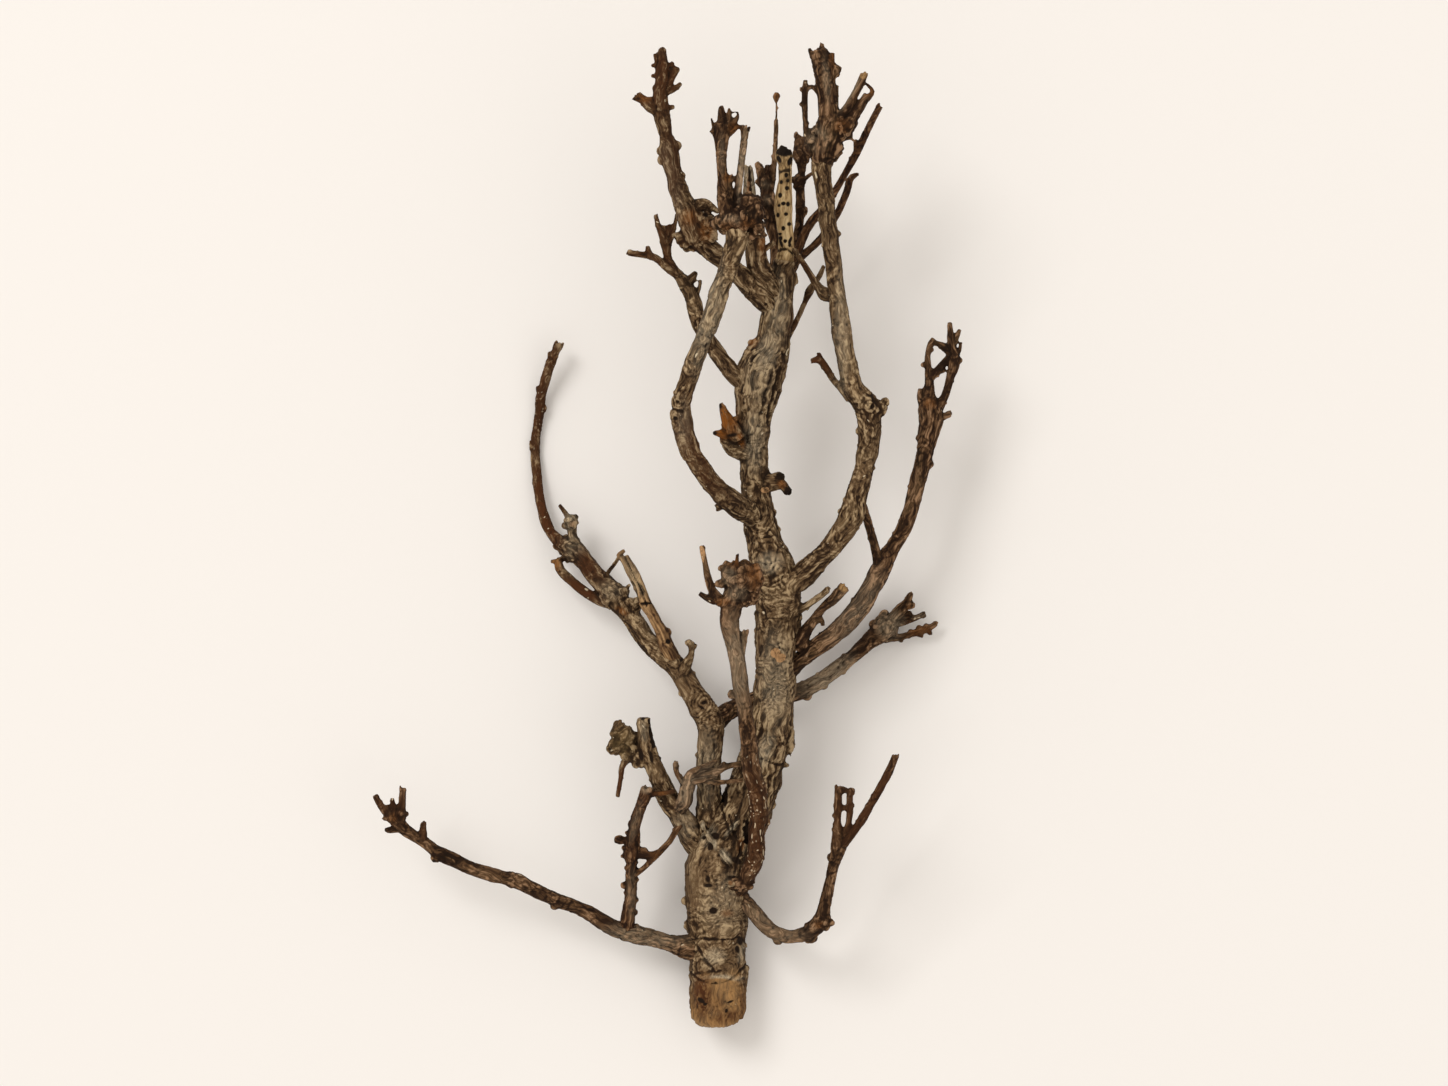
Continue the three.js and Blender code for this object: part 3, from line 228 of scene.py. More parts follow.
            [[4.2, -99.5, 27, 2.7], [6.2, -95.5, 30, 3.0], [7.3, -91, 32, 2.6], [9.2, -87, 33.5, 2.4],
             [12, -84.8, 34.5, 1.7], [15, -83.3, 35, 1.2], [17.9, -81.6, 35.5, 0.9]],
            [[9.5, -88.4, 33.8, 2.0], [13, -87.5, 34.5, 1.9], [17, -86, 35, 1.6], [20.8, -84, 35.5, 1.3],
             [26.5, -82.8, 36, 1.1]],
            [[17.5, -86, 35, 1.2], [20.8, -82.3, 36.3, 0.8]],
            [[12.5, -88.2, 34, 1.5], [17, -89.6, 34.5, 1.1], [22, -89.3, 35, 0.9],
             [27.4, -88.7, 35.5, 0.8]],
            [[6.6, -92, 32.4, 1.3], [4.6, -88.4, 33, 1.1], [3.2, -85.8, 33.4, 1.0],
             [2.9, -82.6, 33.8, 1.2]],
        ],
        "knots": [],
    },
    "low_left_twig": {
        "bark": "redBark",
        "limbs": [
            [[-15, -143.2, 17, 3.2], [-14.3, -138.5, 18.8, 2.6], [-13.6, -133, 20.2, 2.3],
             [-13.2, -128, 21.4, 2.2],
             [-13.1, -123, 22.6, 2.4], [-13.0, -119.5, 23.8, 2.1], [-13.3, -115.5, 25, 3.0],
             [-12.6, -111, 26.4, 2.7],
             [-12, -106, 28, 2.0], [-11, -101.5, 29.6, 2.1], [-9.6, -98, 31, 2.1], [-8.3, -94.5, 32.4, 2.5],
             [-7.8, -91.6, 33.5, 2.0]],
            [[-14, -110.7, 26.4, 1.4], [-18.2, -110.3, 27, 1.4]],
            [[-12, -115.4, 25, 1.8], [-7, -116, 26, 1.5], [-3.2, -115.4, 26.7, 1.3]],
            [[-12.8, -123.8, 23, 1.2], [-9.8, -121.6, 25, 1.1], [-6, -118, 26.2, 1.1],
             [-2.6, -114.5, 26.9, 1.2],
             [0.6, -111, 27, 1.2], [3, -107.2, 26.8, 1.3], [5.2, -104.2, 25.4, 1.3]],
            [[-7.6, -94.2, 32.6, 1.4], [-4, -93.7, 32.9, 1.1], [-0.6, -93.3, 32.7, 1.0],
             [2.6, -92.6, 31.6, 0.9]],
        ],
        "knots": [[-16, -126.8, 22, 1.2, 1.4, 1.2], [-15.1, -120.5, 23.4, 0.9, 1, 0.9],
            [-16, -116.3, 25, 1.2, 1, 1.2],
            [-11.2, -132, 20.4, 0.9, 1.1, 0.9], [-13.6, -104.8, 28.4, 1.0, 1.5, 1.0],
            [-14.6, -107.8, 27.4, 1.0, 0.9, 1.0],
            [-17.6, -110.2, 27, 1.9, 1.7, 1.6], [-15.8, -113.2, 25.6, 1.1, 1.0, 1.1],
            [-8.8, -114.2, 25.8, 1.7, 1.3, 1.4],
            [-12, -101, 29.6, 0.8, 0.9, 0.8], [-9.2, -96.8, 31, 0.9, 0.9, 0.9],
            [-6.6, -92.6, 33.6, 1.6, 1.7, 1.5],
            [-15.3, -129.4, 21, 0.9, 0.8, 0.9], [-10.9, -124.8, 22.4, 0.8, 1.0, 0.8],
            [-11.3, -136.6, 19.6, 0.8, 1.2, 0.8],
            [-11, -118.6, 24, 0.8, 0.7, 0.8]],
    },
    "hook_branch": {
        "bark": "brownBark",
        "limbs": [
            [[23.5, -129, 15, 4.0], [27.5, -132.4, 16.5, 3.4], [31, -136.4, 18, 2.9],
             [34.5, -140.4, 19.8, 2.7],
             [38, -143.6, 21.6, 2.6], [42, -145.2, 23.4, 2.5], [46, -145.3, 25, 2.4],
             [50, -144.3, 26.6, 2.8],
             [53.5, -142, 28, 3.0], [55.8, -139.3, 29.4, 3.1], [56.5, -135.5, 31, 2.3],
             [57.6, -130.5, 33, 2.1],
             [58.9, -125.5, 35, 2.0], [59.8, -120.5, 36.8, 2.0], [61, -116, 38.4, 2.4],
             [62, -112.5, 39.6, 2.8],
             [61.6, -108.5, 40.6, 2.0], [61.5, -103, 41.8, 1.4], [61.6, -98, 42.8, 1.6],
             [61.8, -92.6, 43.6, 1.3]],
            [[63.4, -111, 40.2, 1.8], [65.2, -105.5, 41.4, 1.3], [66, -99.5, 42.4, 1.2],
             [65.9, -94.5, 43.4, 1.2],
             [66.5, -92.4, 43.8, 1.2]],
            [[62.5, -112.5, 40, 2.2], [65.5, -109.6, 41, 1.9], [69, -105, 42.4, 1.6], [73, -98.6, 44, 1.6],
             [77, -91.6, 45.6, 1.6], [80, -86, 47, 1.6], [82.6, -79.8, 48.4, 1.5]],
        ],
        "knots": [[39.8, -147, 22.2, 1.8, 1.6, 1.7], [51.7, -146, 26.8, 2.6, 2.0, 2.4],
            [50.7, -142.8, 27, 1.9, 2.3, 2.6],
            [56.3, -139.8, 30, 2.9, 2.7, 2.7], [58.7, -116.7, 38, 1.4, 1.7, 1.5],
            [60.2, -101.6, 42, 1, 1, 1],
            [63.4, -92.4, 43.7, 2.2, 1.4, 1.3], [63.8, -98.8, 42.8, 1.7, 1.0, 1.2],
            [66.4, -92.6, 43.8, 1.5, 1.3, 1.2], [60.5, -98, 42.6, 0.9, 1.0, 0.9],
            [61, -91.4, 43.8, 0.8, 1.4, 0.8],
            [60, -106.6, 41, 0.9, 1.0, 0.9], [67, -98, 42.6, 0.8, 0.9, 0.8]],
    },
    "right_low_branch": {
        "bark": "brownBark",
        "limbs": [
            [[17.2, -68.5, 21.5, 4.0], [20.5, -65, 18.5, 3.6], [24, -62.8, 15, 3.3],
             [29.5, -60.6, 12.4, 3.2],
             [36, -59, 11, 3.2], [43, -58, 10.6, 3.3], [48, -56.4, 10.6, 3.2], [53.4, -53.8, 10.6, 3.0],
             [59.5, -49.6, 10.2, 3.0], [66, -44.8, 9.2, 2.5], [71.5, -40, 7.6, 2.8], [75.5, -36.6, 6, 3.6],
             [79, -33.4, 5, 4.3]],
            [[81, -31, 5.8, 2.2], [84.5, -26.8, 8, 2.2], [86.5, -24.6, 9, 1.6], [87.9, -21.4, 10.5, 1.1]],
            [[81.5, -32, 5.6, 2.0], [87, -31, 7, 1.2], [92.8, -28.7, 8.5, 1.0]],
            [[78.5, -37.4, 4.6, 1.8], [83, -37.2, 4.6, 1.3], [88, -36, 5, 1.2], [91.6, -34.8, 5.4, 1.5],
             [94, -34, 5.8, 1.4], [96.6, -32.6, 6.2, 1.0]],
            [[94.2, -34.4, 5.8, 1.3], [95.4, -36.2, 5.8, 0.8]],
            [[90, -35.6, 5.4, 1.2], [92.6, -37, 5.4, 0.6]],
            [[87.4, -27.6, 8, 0.8], [88.9, -30.2, 7.4, 0.6]],
            [[82.6, -30.4, 6, 1.7], [85.4, -29.6, 7, 1.5], [87, -28.9, 7.6, 0.9]],
        ],
        "knots": [[78.6, -33.5, 4.9, 4.7, 4.5, 4.5], [81.6, -31, 5.4, 2.9, 2.7, 2.9],
            [87.4, -25.2, 9, 2.4, 1.8, 1.5],
            [91, -33.6, 5.8, 1.1, 1.0, 1.1],
            [88, -34.8, 5.4, 1.0, 0.8, 1.0], [82, -36, 5, 0.9, 0.8, 0.9], [84.6, -38.4, 4.8, 0.9, 0.7, 0.8],
            [93.6, -32.8, 6, 0.9, 0.9, 0.9], [97, -31.8, 6.4, 1.1, 0.8, 1.0],
            [63.4, -49.4, 10, 1.4, 1.5, 1.5], [50.5, -58.4, 10.5, 1.8, 1.6, 1.8],
            [56.6, -54.6, 10.2, 1.7, 1.5, 1.8]],
    },
    "front_branch": {
        "bark": "brownBark",
        "limbs": [
            [[25.5, -128.5, 20, 3.4], [28.2, -124, 25, 3.3], [31, -119, 30, 3.3], [31.9, -114, 33.5, 3.2],
             [32.2, -108, 37, 3.3], [33.2, -103, 40, 3.5], [32.7, -96, 43.5, 3.6], [31.3, -88.7, 47, 3.5],
             [30, -81.5, 50, 3.4], [29.2, -74, 53, 3.1], [28.3, -67, 55.5, 2.9], [27.5, -60, 58, 2.9],
             [26.2, -53, 60.5, 3.0], [25.2, -45, 63, 3.2], [23.6, -38, 65, 3.1], [22.5, -31.5, 67, 3.4],
             [23.2, -26.5, 68.5, 3.9], [26, -19, 70, 5]],
            [[18.8, -24, 69, 2.2], [16.2, -20, 69, 1.7], [14.6, -15.5, 69.5, 1.5], [13.6, -10.5, 70, 1.1],
             [12.3, -3.8, 70.5, 1.0]],
            [[17, -24, 69, 1.6], [13.5, -22.4, 69, 1.2], [11.4, -21, 69, 1.0]],
            [[26.4, -45.5, 63.5, 1.4], [27.6, -39.5, 65, 1.1], [28.2, -34.8, 66, 1.1]],
            [[25, -11.5, 73, 1.2], [25.2, -7, 74, 0.6]],
        ],
        "knots": [[26.8, -125.4, 24, 4.4, 3.8, 4], [26.5, -15.5, 71, 6.5, 6, 5.5],
            [22.5, -14.4, 71, 3.6, 4.6, 3.8],
            [30.8, -16.5, 71, 4, 5, 4], [27.5, -22.5, 70, 4.5, 3.8, 4], [19.2, -24, 69.2, 3.4, 1.8, 2.4],
            [23.4, -57.8, 58.3, 2.1, 1.8, 1.7], [36.6, -104, 40, 1, 1.3, 1],
            [19.4, -17.6, 70.3, 2.2, 1.6, 1.5]],
    },
    "right_arc_branch": {
        "bark": "greyBark",
        "limbs": [
            [[40, -21.5, 31, 4.2], [44, -18.5, 33, 4.6], [48.6, -14.8, 35, 4.5], [53.4, -10.2, 37, 4.2],
             [58.8, -4.6, 39, 4.0], [63.6, 1.6, 41, 4.3], [66.7, 8, 42.6, 4.7], [68.1, 13, 43.6, 4.0],
             [70, 19, 44.8, 3.6], [71.6, 26, 46, 3.7], [72.7, 33, 47, 3.9], [73, 39.5, 48, 4.4],
             [72.3, 45.5, 49, 4.9], [69.9, 49.5, 49.8, 4.4], [67.5, 53, 50.5, 4.0], [65.6, 59.5, 51.5, 3.7],
             [64, 66.5, 52.6, 3.6], [62.9, 74, 53.8, 3.5], [62.1, 81.5, 55, 3.5], [61.3, 89, 56.2, 3.2],
             [60.4, 96.5, 57.4, 3.1], [59.2, 104, 58.6, 3.2], [58.3, 111.5, 59.8, 3.2],
             [57.6, 118.5, 61, 3.1],
             [56.5, 126, 62.2, 3.3], [55.6, 132, 63.2, 3.5], [55.7, 137, 64, 3.8]],
            [[66, 49, 49.5, 1.7], [62.6, 53, 50.5, 1.2], [59.5, 57, 51.5, 1.3], [57, 61, 52.4, 1.5],
             [54.9, 63.4, 53, 1.5], [51.9, 63, 53.3, 0.9]],
            [[56.6, 61, 52.4, 1.4], [54.6, 66, 53.5, 0.8]],
            [[60, 86.5, 54, 2.6], [56.8, 87.4, 52, 2.4], [54.8, 89.4, 50.6, 1.7], [52, 93.6, 48.4, 1.3],
             [49.3, 98, 46.4, 1.2], [47, 101.4, 44.8, 1.2], [45.6, 103.4, 44, 1.1]],
        ],
        "knots": [[75.8, 46.3, 49.5, 3.8, 2.8, 3.4], [78.2, 45.8, 49.8, 1.7, 1.6, 1.5],
            [69.2, 37.6, 47.6, 1.3, 1.6, 1.4],
            [61.3, 109, 59, 1.7, 1.2, 1.2]],
    },
    "right_top_branch": {
        "bark": "brownBark",
        "limbs": [
            [[55.7, 134.5, 63.6, 3.8], [57.2, 141, 64.6, 4.8], [58.3, 147, 65.4, 4.6],
             [58.2, 152.5, 66, 3.8],
             [57.8, 158, 66.6, 3.7], [57.2, 163.5, 67.2, 3.6], [56.7, 168.5, 67.8, 4.1],
             [55.4, 172.5, 68.2, 3.6],
             [54.7, 175.6, 68.6, 3.1]],
            [[59, 137.4, 64.8, 1.6], [61.2, 137.8, 65, 1.2], [63.2, 138.6, 65.2, 0.6]],
            [[59.2, 169, 68, 1.6], [59.6, 174.7, 68.6, 1.0]],
            [[61, 152, 66, 1.0], [61.2, 158.5, 66.5, 0.9], [61.5, 163, 67, 0.6]],
            [[55.5, 174, 68.6, 1.9], [55.9, 178, 69, 0.7]],
            [[52.4, 173, 68.4, 1.2], [51.2, 176.3, 68.6, 0.7]],
            [[49.8, 155, 65.6, 0.8], [47.6, 156.2, 65.6, 0.6]],
            [[49.8, 160.6, 66.2, 0.8], [47.8, 161.4, 66.2, 0.6]],
            [[51.4, 138, 63.6, 1.6], [50.4, 143, 64, 1.2], [50, 148, 64.6, 1.1], [49.7, 153, 65.2, 1.2],
             [49.6, 158, 65.8, 1.2], [49.7, 161.5, 66.2, 1.3], [49.9, 164.9, 66.6, 0.9]],
            [[50, 161, 66.2, 0.9], [52.1, 162.4, 66.6, 0.9], [55, 159.6, 66.8, 1.0]],
            [[61.5, 150.5, 66, 1.9], [64.6, 154.2, 66.8, 1.7], [67.2, 158.5, 67.6, 1.6],
             [69.3, 162.5, 68.2, 1.6],
             [71.2, 166.9, 68.8, 1.5]],
            [[65, 148.5, 66, 2.6], [67.8, 152.5, 66.6, 2.2], [70.2, 156, 67.2, 1.9],
             [72.4, 159.2, 67.6, 1.5]],
            [[72.2, 158, 67.6, 1.3], [74.2, 160.7, 68.2, 0.9], [71.9, 163.4, 68.4, 0.6]],
        ],
        "knots": [[53.2, 141.4, 64, 3, 5, 3.4], [54.8, 145.6, 65, 3.2, 3.2, 3.2],
            [62.8, 147.5, 65.5, 4.8, 5.2, 4.4],
            [66, 149, 65.8, 3, 3, 2.8], [60.5, 141.5, 65, 3.3, 3.8, 3.4], [57.5, 138, 64.4, 3.2, 2.6, 3],
            [60.2, 168, 68, 2.9, 3.0, 2]],
    },
    "right_outer_branch": {
        "bark": "brownBark",
        "limbs": [
            [[43.5, -49.5, 26, 3.4], [47.5, -45.6, 26.3, 3.4], [52.3, -41.8, 27, 3.4], [58.8, -37, 28, 3.6],
             [65.3, -31, 29, 3.8], [70.4, -24.6, 29.7, 3.8], [74.4, -17.6, 30, 3.8], [78.2, -10.3, 30, 3.7],
             [81.4, -4.8, 30, 3.0], [84.4, 0.3, 30, 2.8], [87, 6, 30, 2.8], [89, 12.4, 30, 2.7],
             [90.7, 19.9, 30, 2.9], [92.5, 27.2, 30, 3.1], [93.9, 34.4, 30, 3.5], [95.3, 41, 30, 4.2],
             [95, 46, 30, 4.3], [94.6, 50.5, 30, 2.6], [94.7, 55, 30.2, 1.9], [94.4, 60, 30.6, 1.3],
             [94.2, 65, 31.2, 1.1], [95.2, 69.2, 31.8, 1.2], [96.3, 71.3, 32.2, 0.8]],
            [[93, 46, 30, 2.2], [91.6, 50, 30.3, 1.5], [91.5, 52.4, 30.6, 1.0]],
            [[97.4, 46, 30, 2.6], [100, 49.5, 30.2, 1.7], [101.3, 53, 30.5, 1.5], [102.3, 57, 31, 1.6],
             [103.6, 61, 31.6, 2.0], [103.8, 64.5, 32, 2.2], [103, 68, 32.6, 1.8], [102.6, 71.5, 33.2, 1.5],
             [102.1, 76, 34, 1.0]],
            [[103.4, 69, 32.8, 1.4], [104.6, 71.5, 33.2, 1.1], [105.8, 74.5, 33.8, 0.8]],
            [[104.4, 64.6, 32.2, 1.3], [105.8, 67.5, 32.6, 0.8], [106.2, 70, 33, 0.6]],
            [[95.2, 69.6, 31.8, 1.0], [98, 69.2, 32, 1.1], [100, 68, 32.2, 1.7], [102.6, 66, 32.3, 1.8]],
            [[94.8, 56.6, 30.4, 1.7], [97.6, 59.3, 30.8, 1.7], [99.8, 62, 31.2, 1.5],
             [102.6, 64.6, 31.8, 1.7]],
            [[99, 42.4, 30, 1.3], [102.2, 43.9, 30.4, 1.1]],
            [[76.5, -11.5, 30.5, 2.2], [74.8, -3.6, 33, 1.6], [72.8, 3.6, 36, 1.6], [70.8, 10.4, 39, 1.5],
             [69.6, 13, 41, 1.4]],
            [[46.8, -41, 27.5, 3.0], [49.6, -35.5, 30, 2.4], [53.2, -30.4, 31.5, 1.8],
             [56, -26.6, 32.5, 1.7],
             [59, -24, 33.2, 2.1], [62, -21, 34, 2.1], [64.3, -18.6, 34.6, 2.2]],
            [[50, -34.6, 30.4, 1.8], [53.5, -31, 32.2, 1.6], [55.8, -30.6, 32.6, 1.0],
             [56.2, -33, 32.4, 0.8]],
        ],
        "knots": [[91, 35, 30, 1.3, 1.5, 1.3], [92.4, 61.6, 30.8, 1, 1.1, 1],
            [95.6, 67, 31.4, 0.9, 0.9, 0.9],
            [105.4, 63.3, 32, 1.6, 1.3, 1.2], [73.6, -25.2, 30, 1.1, 0.9, 0.9], [95.3, 26, 30, 1.5, 2, 1.6],
            [99, 59.6, 31, 1.8, 1.3, 1.2], [48.2, -37, 29, 2.4, 3, 2.4]],
    },
    "front_arc_branch": {
        "bark": "greyBark",
        "limbs": [
            [[31, 7, 36, 4.4], [27, 9.6, 41, 4.3], [22.6, 12.4, 46, 4.1], [18.4, 16.2, 50, 3.8],
             [14.8, 20.2, 53.5, 3.7], [11.8, 24.2, 56.5, 3.7], [9, 29, 59.5, 3.7], [6.8, 34.5, 62.5, 3.8],
             [5.4, 40, 65, 3.8], [4.9, 45, 67.2, 3.7], [5.5, 50, 69.2, 3.7], [7.4, 56, 71.2, 3.2],
             [9, 61, 72.6, 3.3], [11, 66.5, 74, 3.2], [13, 71.5, 75.2, 3.2], [15, 76.5, 76.2, 3.3],
             [16.8, 81.5, 77, 3.5], [18.4, 87, 77.8, 3.9], [20.4, 92.5, 78.4, 3.5], [22.2, 97.5, 79, 3.7],
             [23.6, 102, 79.4, 3.9], [25.2, 106.8, 79.8, 4.3], [25.6, 110.4, 80, 4.6]],
            [[20.6, 11.2, 46, 1.8], [17.6, 9.6, 46, 1.2]],
        ],
        "knots": [[3.4, 48.8, 69, 2.3, 2.1, 2.3], [2.9, 43.5, 67, 2.1, 2.6, 2.3],
            [14, 17.4, 52, 1.6, 1.4, 1.6]],
    },
    "front_top_branch": {
        "bark": "brownBark",
        "limbs": [
            [[23, 113.5, 80, 3.6], [21, 119, 80.2, 3.2], [20.2, 124, 80.5, 2.5], [20, 129, 80.8, 2.1],
             [19.6, 134, 81.2, 2.0], [19.4, 139.5, 81.5, 2.3], [19.4, 144, 81.8, 3.0],
             [19.8, 148.8, 82, 2.7]],
            [[22.4, 117.5, 80, 2.2], [21.9, 123, 80.4, 1.9], [22, 127.6, 80.6, 1.6],
             [23.4, 129.8, 80.8, 1.1]],
            [[19.6, 148, 82.2, 1.9], [19.5, 152.5, 82.4, 1.4], [19.4, 154.8, 82.6, 1.1]],
            [[21.6, 148, 82.2, 1.9], [22.3, 152, 82.4, 1.0], [22.3, 154.4, 82.6, 0.6]],
            [[22, 148.4, 82.2, 1.5], [24.6, 150, 82.4, 1.2], [25.5, 151.8, 82.5, 0.7]],
            [[17.6, 146, 82, 1.5], [16, 145.6, 82, 1.4]],
            [[16.8, 147, 82, 0.7], [15.8, 151, 82.4, 0.45]],
            [[23.6, 150.4, 82.4, 0.7], [25.6, 151.4, 82.6, 0.5], [25.2, 153.2, 82.8, 0.45],
             [23.6, 153, 82.8, 0.4]],
            [[20.8, 144.6, 82, 1.6], [23.6, 146.2, 82, 1.1], [25.6, 148, 82.1, 0.8],
             [28, 147.4, 82.1, 0.9]],
            [[25.4, 117, 80, 2.0], [25.5, 125, 80.4, 1.5], [26.2, 131, 80.8, 1.5], [26.9, 137, 81.2, 1.4],
             [27.7, 143, 81.6, 1.4], [28.1, 147.5, 82, 1.6]],
        ],
        "knots": [[25.5, 113.8, 80, 5.8, 5.2, 5.2], [19.4, 112.8, 79.6, 3.8, 2.8, 3.2],
            [30.8, 115.8, 80, 4.2, 4.4, 4],
            [31.5, 119.8, 80.2, 2.9, 2.7, 2.7], [27.5, 119.8, 80, 3.4, 3.6, 3.2],
            [32.4, 110.6, 79.6, 2.6, 3, 2.6],
            [22.7, 128.8, 81, 1.5, 1.7, 1.4]],
    },
    "inner_branch": {
        "bark": "greyBark",
        "limbs": [
            [[39, 87, 42.5, 3.6], [35.6, 92, 45.5, 4.4], [32.8, 97.5, 48.4, 4.1], [31.4, 103, 50.8, 3.6],
             [30.6, 109.5, 52.8, 3.1], [29.9, 116, 54.2, 2.8], [29.6, 122, 55.2, 2.4], [29.5, 128, 56, 2.2],
             [29.3, 133.2, 56.5, 1.5]],
            [[32.5, 101.6, 51.4, 1.9], [35, 103.4, 51.2, 1.1], [38.6, 106, 50.6, 1.0]],
        ],
        "knots": [[33.4, 106, 53, 1.9, 4.5, 1.9], [33.4, 111.6, 54, 1.9, 2.4, 1.6]],
    },
    "upper_left_branch": {
        "bark": "greyBark",
        "limbs": [
            [[37, 84, 42, 4.4], [31.8, 88.6, 46, 4.4], [27, 93, 48.6, 3.9], [23.2, 96.5, 51, 3.6],
             [19.2, 100, 53.4, 3.5], [15, 103.6, 56, 4.0], [11.3, 107.6, 58.4, 4.8], [9, 112.5, 60.2, 5.0],
             [7, 117.5, 61.6, 4.2], [5, 122, 62.8, 3.8], [3.4, 126.5, 63.8, 3.4], [2.2, 131, 64.8, 3.1],
             [1.2, 136, 65.8, 3.3], [0.3, 140.5, 66.6, 3.2], [-0.6, 144.5, 67.2, 2.4],
             [-1.5, 149, 67.8, 2.9],
             [-2.6, 154, 68.2, 3.1], [-2.6, 159.5, 68.6, 2.7], [-2, 164.5, 69, 2.6], [-2, 169.5, 69.3, 2.4],
             [-2, 173, 69.5, 1.9], [-1.9, 176.2, 69.7, 1.5]],
            [[10, 108.5, 58.8, 3], [5.5, 108, 59, 2.4], [2.8, 107.4, 59.2, 2.1]],
            [[10, 118.8, 61.4, 3], [13.5, 120, 61.8, 2.0], [16.5, 118.2, 61.6, 1.4],
             [18.7, 116.8, 61.4, 0.7]],
            [[-2.6, 153.5, 68.2, 2.6], [-6, 155.2, 68.4, 2.6], [-9, 157.6, 68.7, 1.8],
             [-11, 159.6, 69, 1.4]],
            [[-8.5, 156.6, 68.5, 1.0], [-13, 158.1, 68.6, 0.5]],
            [[-0.5, 161.5, 68.8, 1.8], [1.6, 165.6, 69, 1.3], [2.9, 168.5, 69.2, 1.7],
             [4.4, 168.6, 69.3, 0.9]],
            [[0, 169, 69.3, 1.5], [2.2, 171.2, 69.3, 0.8]],
            [[1.4, 168.4, 69.2, 1.4], [-1, 169.4, 69.3, 1.4]],
            [[-1, 160.4, 68.7, 1.5], [2.5, 161.6, 68.8, 1.2], [4.9, 163.6, 69, 0.7]],
            [[-1, 154.4, 68.2, 1.2], [2.5, 155.1, 68.3, 0.8]],
            [[-3.2, 169.6, 69.3, 1.3], [-4.7, 174.4, 69.6, 0.8]],
        ],
        "knots": [[13.2, 113, 60, 4, 5.4, 4], [9.2, 106, 58, 4, 2.3, 3.2], [15.2, 109.5, 59.5, 2.8, 3.2, 3],
            [3.4, 141, 66.4, 1.7, 1.7, 1.7], [-2.9, 139, 66.5, 1.3, 1.5, 1.2],
            [-2.6, 135.6, 65.8, 1.2, 1.9, 1.2],
            [5.6, 130.2, 65, 1.2, 1.2, 1], [6.4, 125.6, 64, 1.2, 1.3, 1.2],
            [-6.2, 157.4, 69, 1.4, 1.4, 1.3],
            [-5.2, 170, 69.2, 1, 0.8, 0.8], [-5, 166.2, 69, 1.1, 0.9, 0.9], [-4.6, 161.8, 68.6, 1, 1.6, 1]],
    },
    "thin_left_branch": {
        "bark": "greyBark",
        "limbs": [
            [[30, 52, 38, 3.2], [24.8, 57.2, 40.4, 3.2], [20.2, 62.6, 42, 3.0], [16.3, 68.2, 43.2, 2.9],
             [13.3, 73, 44, 2.8], [11, 78, 44.7, 2.9], [9.6, 83.2, 45.2, 3.0], [7.8, 88, 45.6, 2.8],
             [5.4, 92.4, 46, 2.4], [2.6, 96, 46.3, 1.8], [0.3, 100, 46.5, 1.5], [-0.6, 104.5, 46.7, 1.9],
             [-1.8, 108, 46.9, 1.5], [-3.2, 111.5, 47, 1.1], [-4.4, 116, 47.2, 0.9]],
            [[4.6, 93.6, 46.2, 2.1], [-0.5, 97.2, 46.8, 1.6], [-4.5, 100.3, 47.3, 1.4],
             [-9, 101.4, 47.8, 1.2],
             [-14.2, 102.1, 48.2, 1.1]],
            [[-6.6, 100.8, 47.5, 1.7], [-7.3, 104.7, 48, 0.8]],
            [[-1.4, 107.6, 46.8, 0.9], [-1.4, 112.3, 47, 0.6]],
            [[0.2, 107, 46.8, 0.9], [0.3, 112.4, 47, 0.6]],
            [[0.6, 105.6, 46.8, 1.2], [2.3, 111, 47.2, 0.9], [3.4, 116.4, 47.5, 0.8]],
            [[6.4, 89.8, 45.8, 2.4], [8.8, 93, 46, 1.6], [10.4, 95.3, 46.2, 0.9]],
            [[9, 85, 45.4, 1.4], [11.2, 88.6, 45.7, 0.8], [11.9, 92.4, 46, 0.7]],
        ],
        "knots": [[-0.2, 106, 46.8, 2.1, 2.4, 1.6], [20.6, 58.6, 41, 1.2, 1.1, 1.2]],
    },
    "dark_upright_left": {
        "bark": "brownBark",
        "limbs": [
            [[40.4, 88, 38.5, 2.6], [39, 95, 34.4, 2.2], [38.6, 101, 32.2, 1.8], [38.5, 107, 31, 1.8],
             [37.2, 112.5, 30.6, 2.4], [36.4, 118, 30.4, 2.6], [36, 123, 30.4, 2.8],
             [35.6, 128, 30.6, 2.4]],
            [[35, 126.6, 30.8, 2.0], [33.6, 131, 31.2, 1.5], [32.6, 134.3, 31.6, 1.1]],
            [[36, 127.5, 30.8, 1.7], [36.2, 134, 31.6, 0.9]],
            [[36.8, 124, 30.6, 1.9], [38.2, 131, 31, 1.2], [38.8, 137, 31.4, 1.0], [39.1, 143, 31.8, 0.9],
             [39.3, 150.2, 32.2, 0.9]],
            [[39.3, 149, 32.2, 0.5], [39.4, 157.5, 32.6, 0.4]],
        ],
        "knots": [[36.4, 120.5, 30.6, 3.0, 3.6, 2.8], [35.2, 127, 31, 2.9, 2.9, 2.6],
            [37.6, 114, 30.8, 2.3, 2.6, 2.3],
            [33.2, 133, 31.2, 1.5, 1.8, 1.4], [36.6, 132.6, 31.4, 1.4, 1.6, 1.3],
            [39.4, 158.3, 32.8, 1.3, 2.0, 1.1]],
    },
    "dark_upright_right": {
        "bark": "brownBark",
        "limbs": [
            [[43, 94, 39, 2.4], [45.6, 98.4, 35.4, 2.3], [46.8, 103, 33, 1.8], [46.9, 108, 31.6, 1.6],
             [47.6, 113, 31, 1.7], [48, 119, 30.8, 1.8], [47.9, 125, 30.8, 1.7], [48.4, 130.5, 31, 1.5],
             [48.3, 135.5, 31.2, 2.0], [47.4, 140, 31.4, 1.9], [46.8, 145, 31.6, 1.0]],
            [[48.4, 137.4, 31.4, 1.5], [49, 144.3, 31.8, 0.8]],
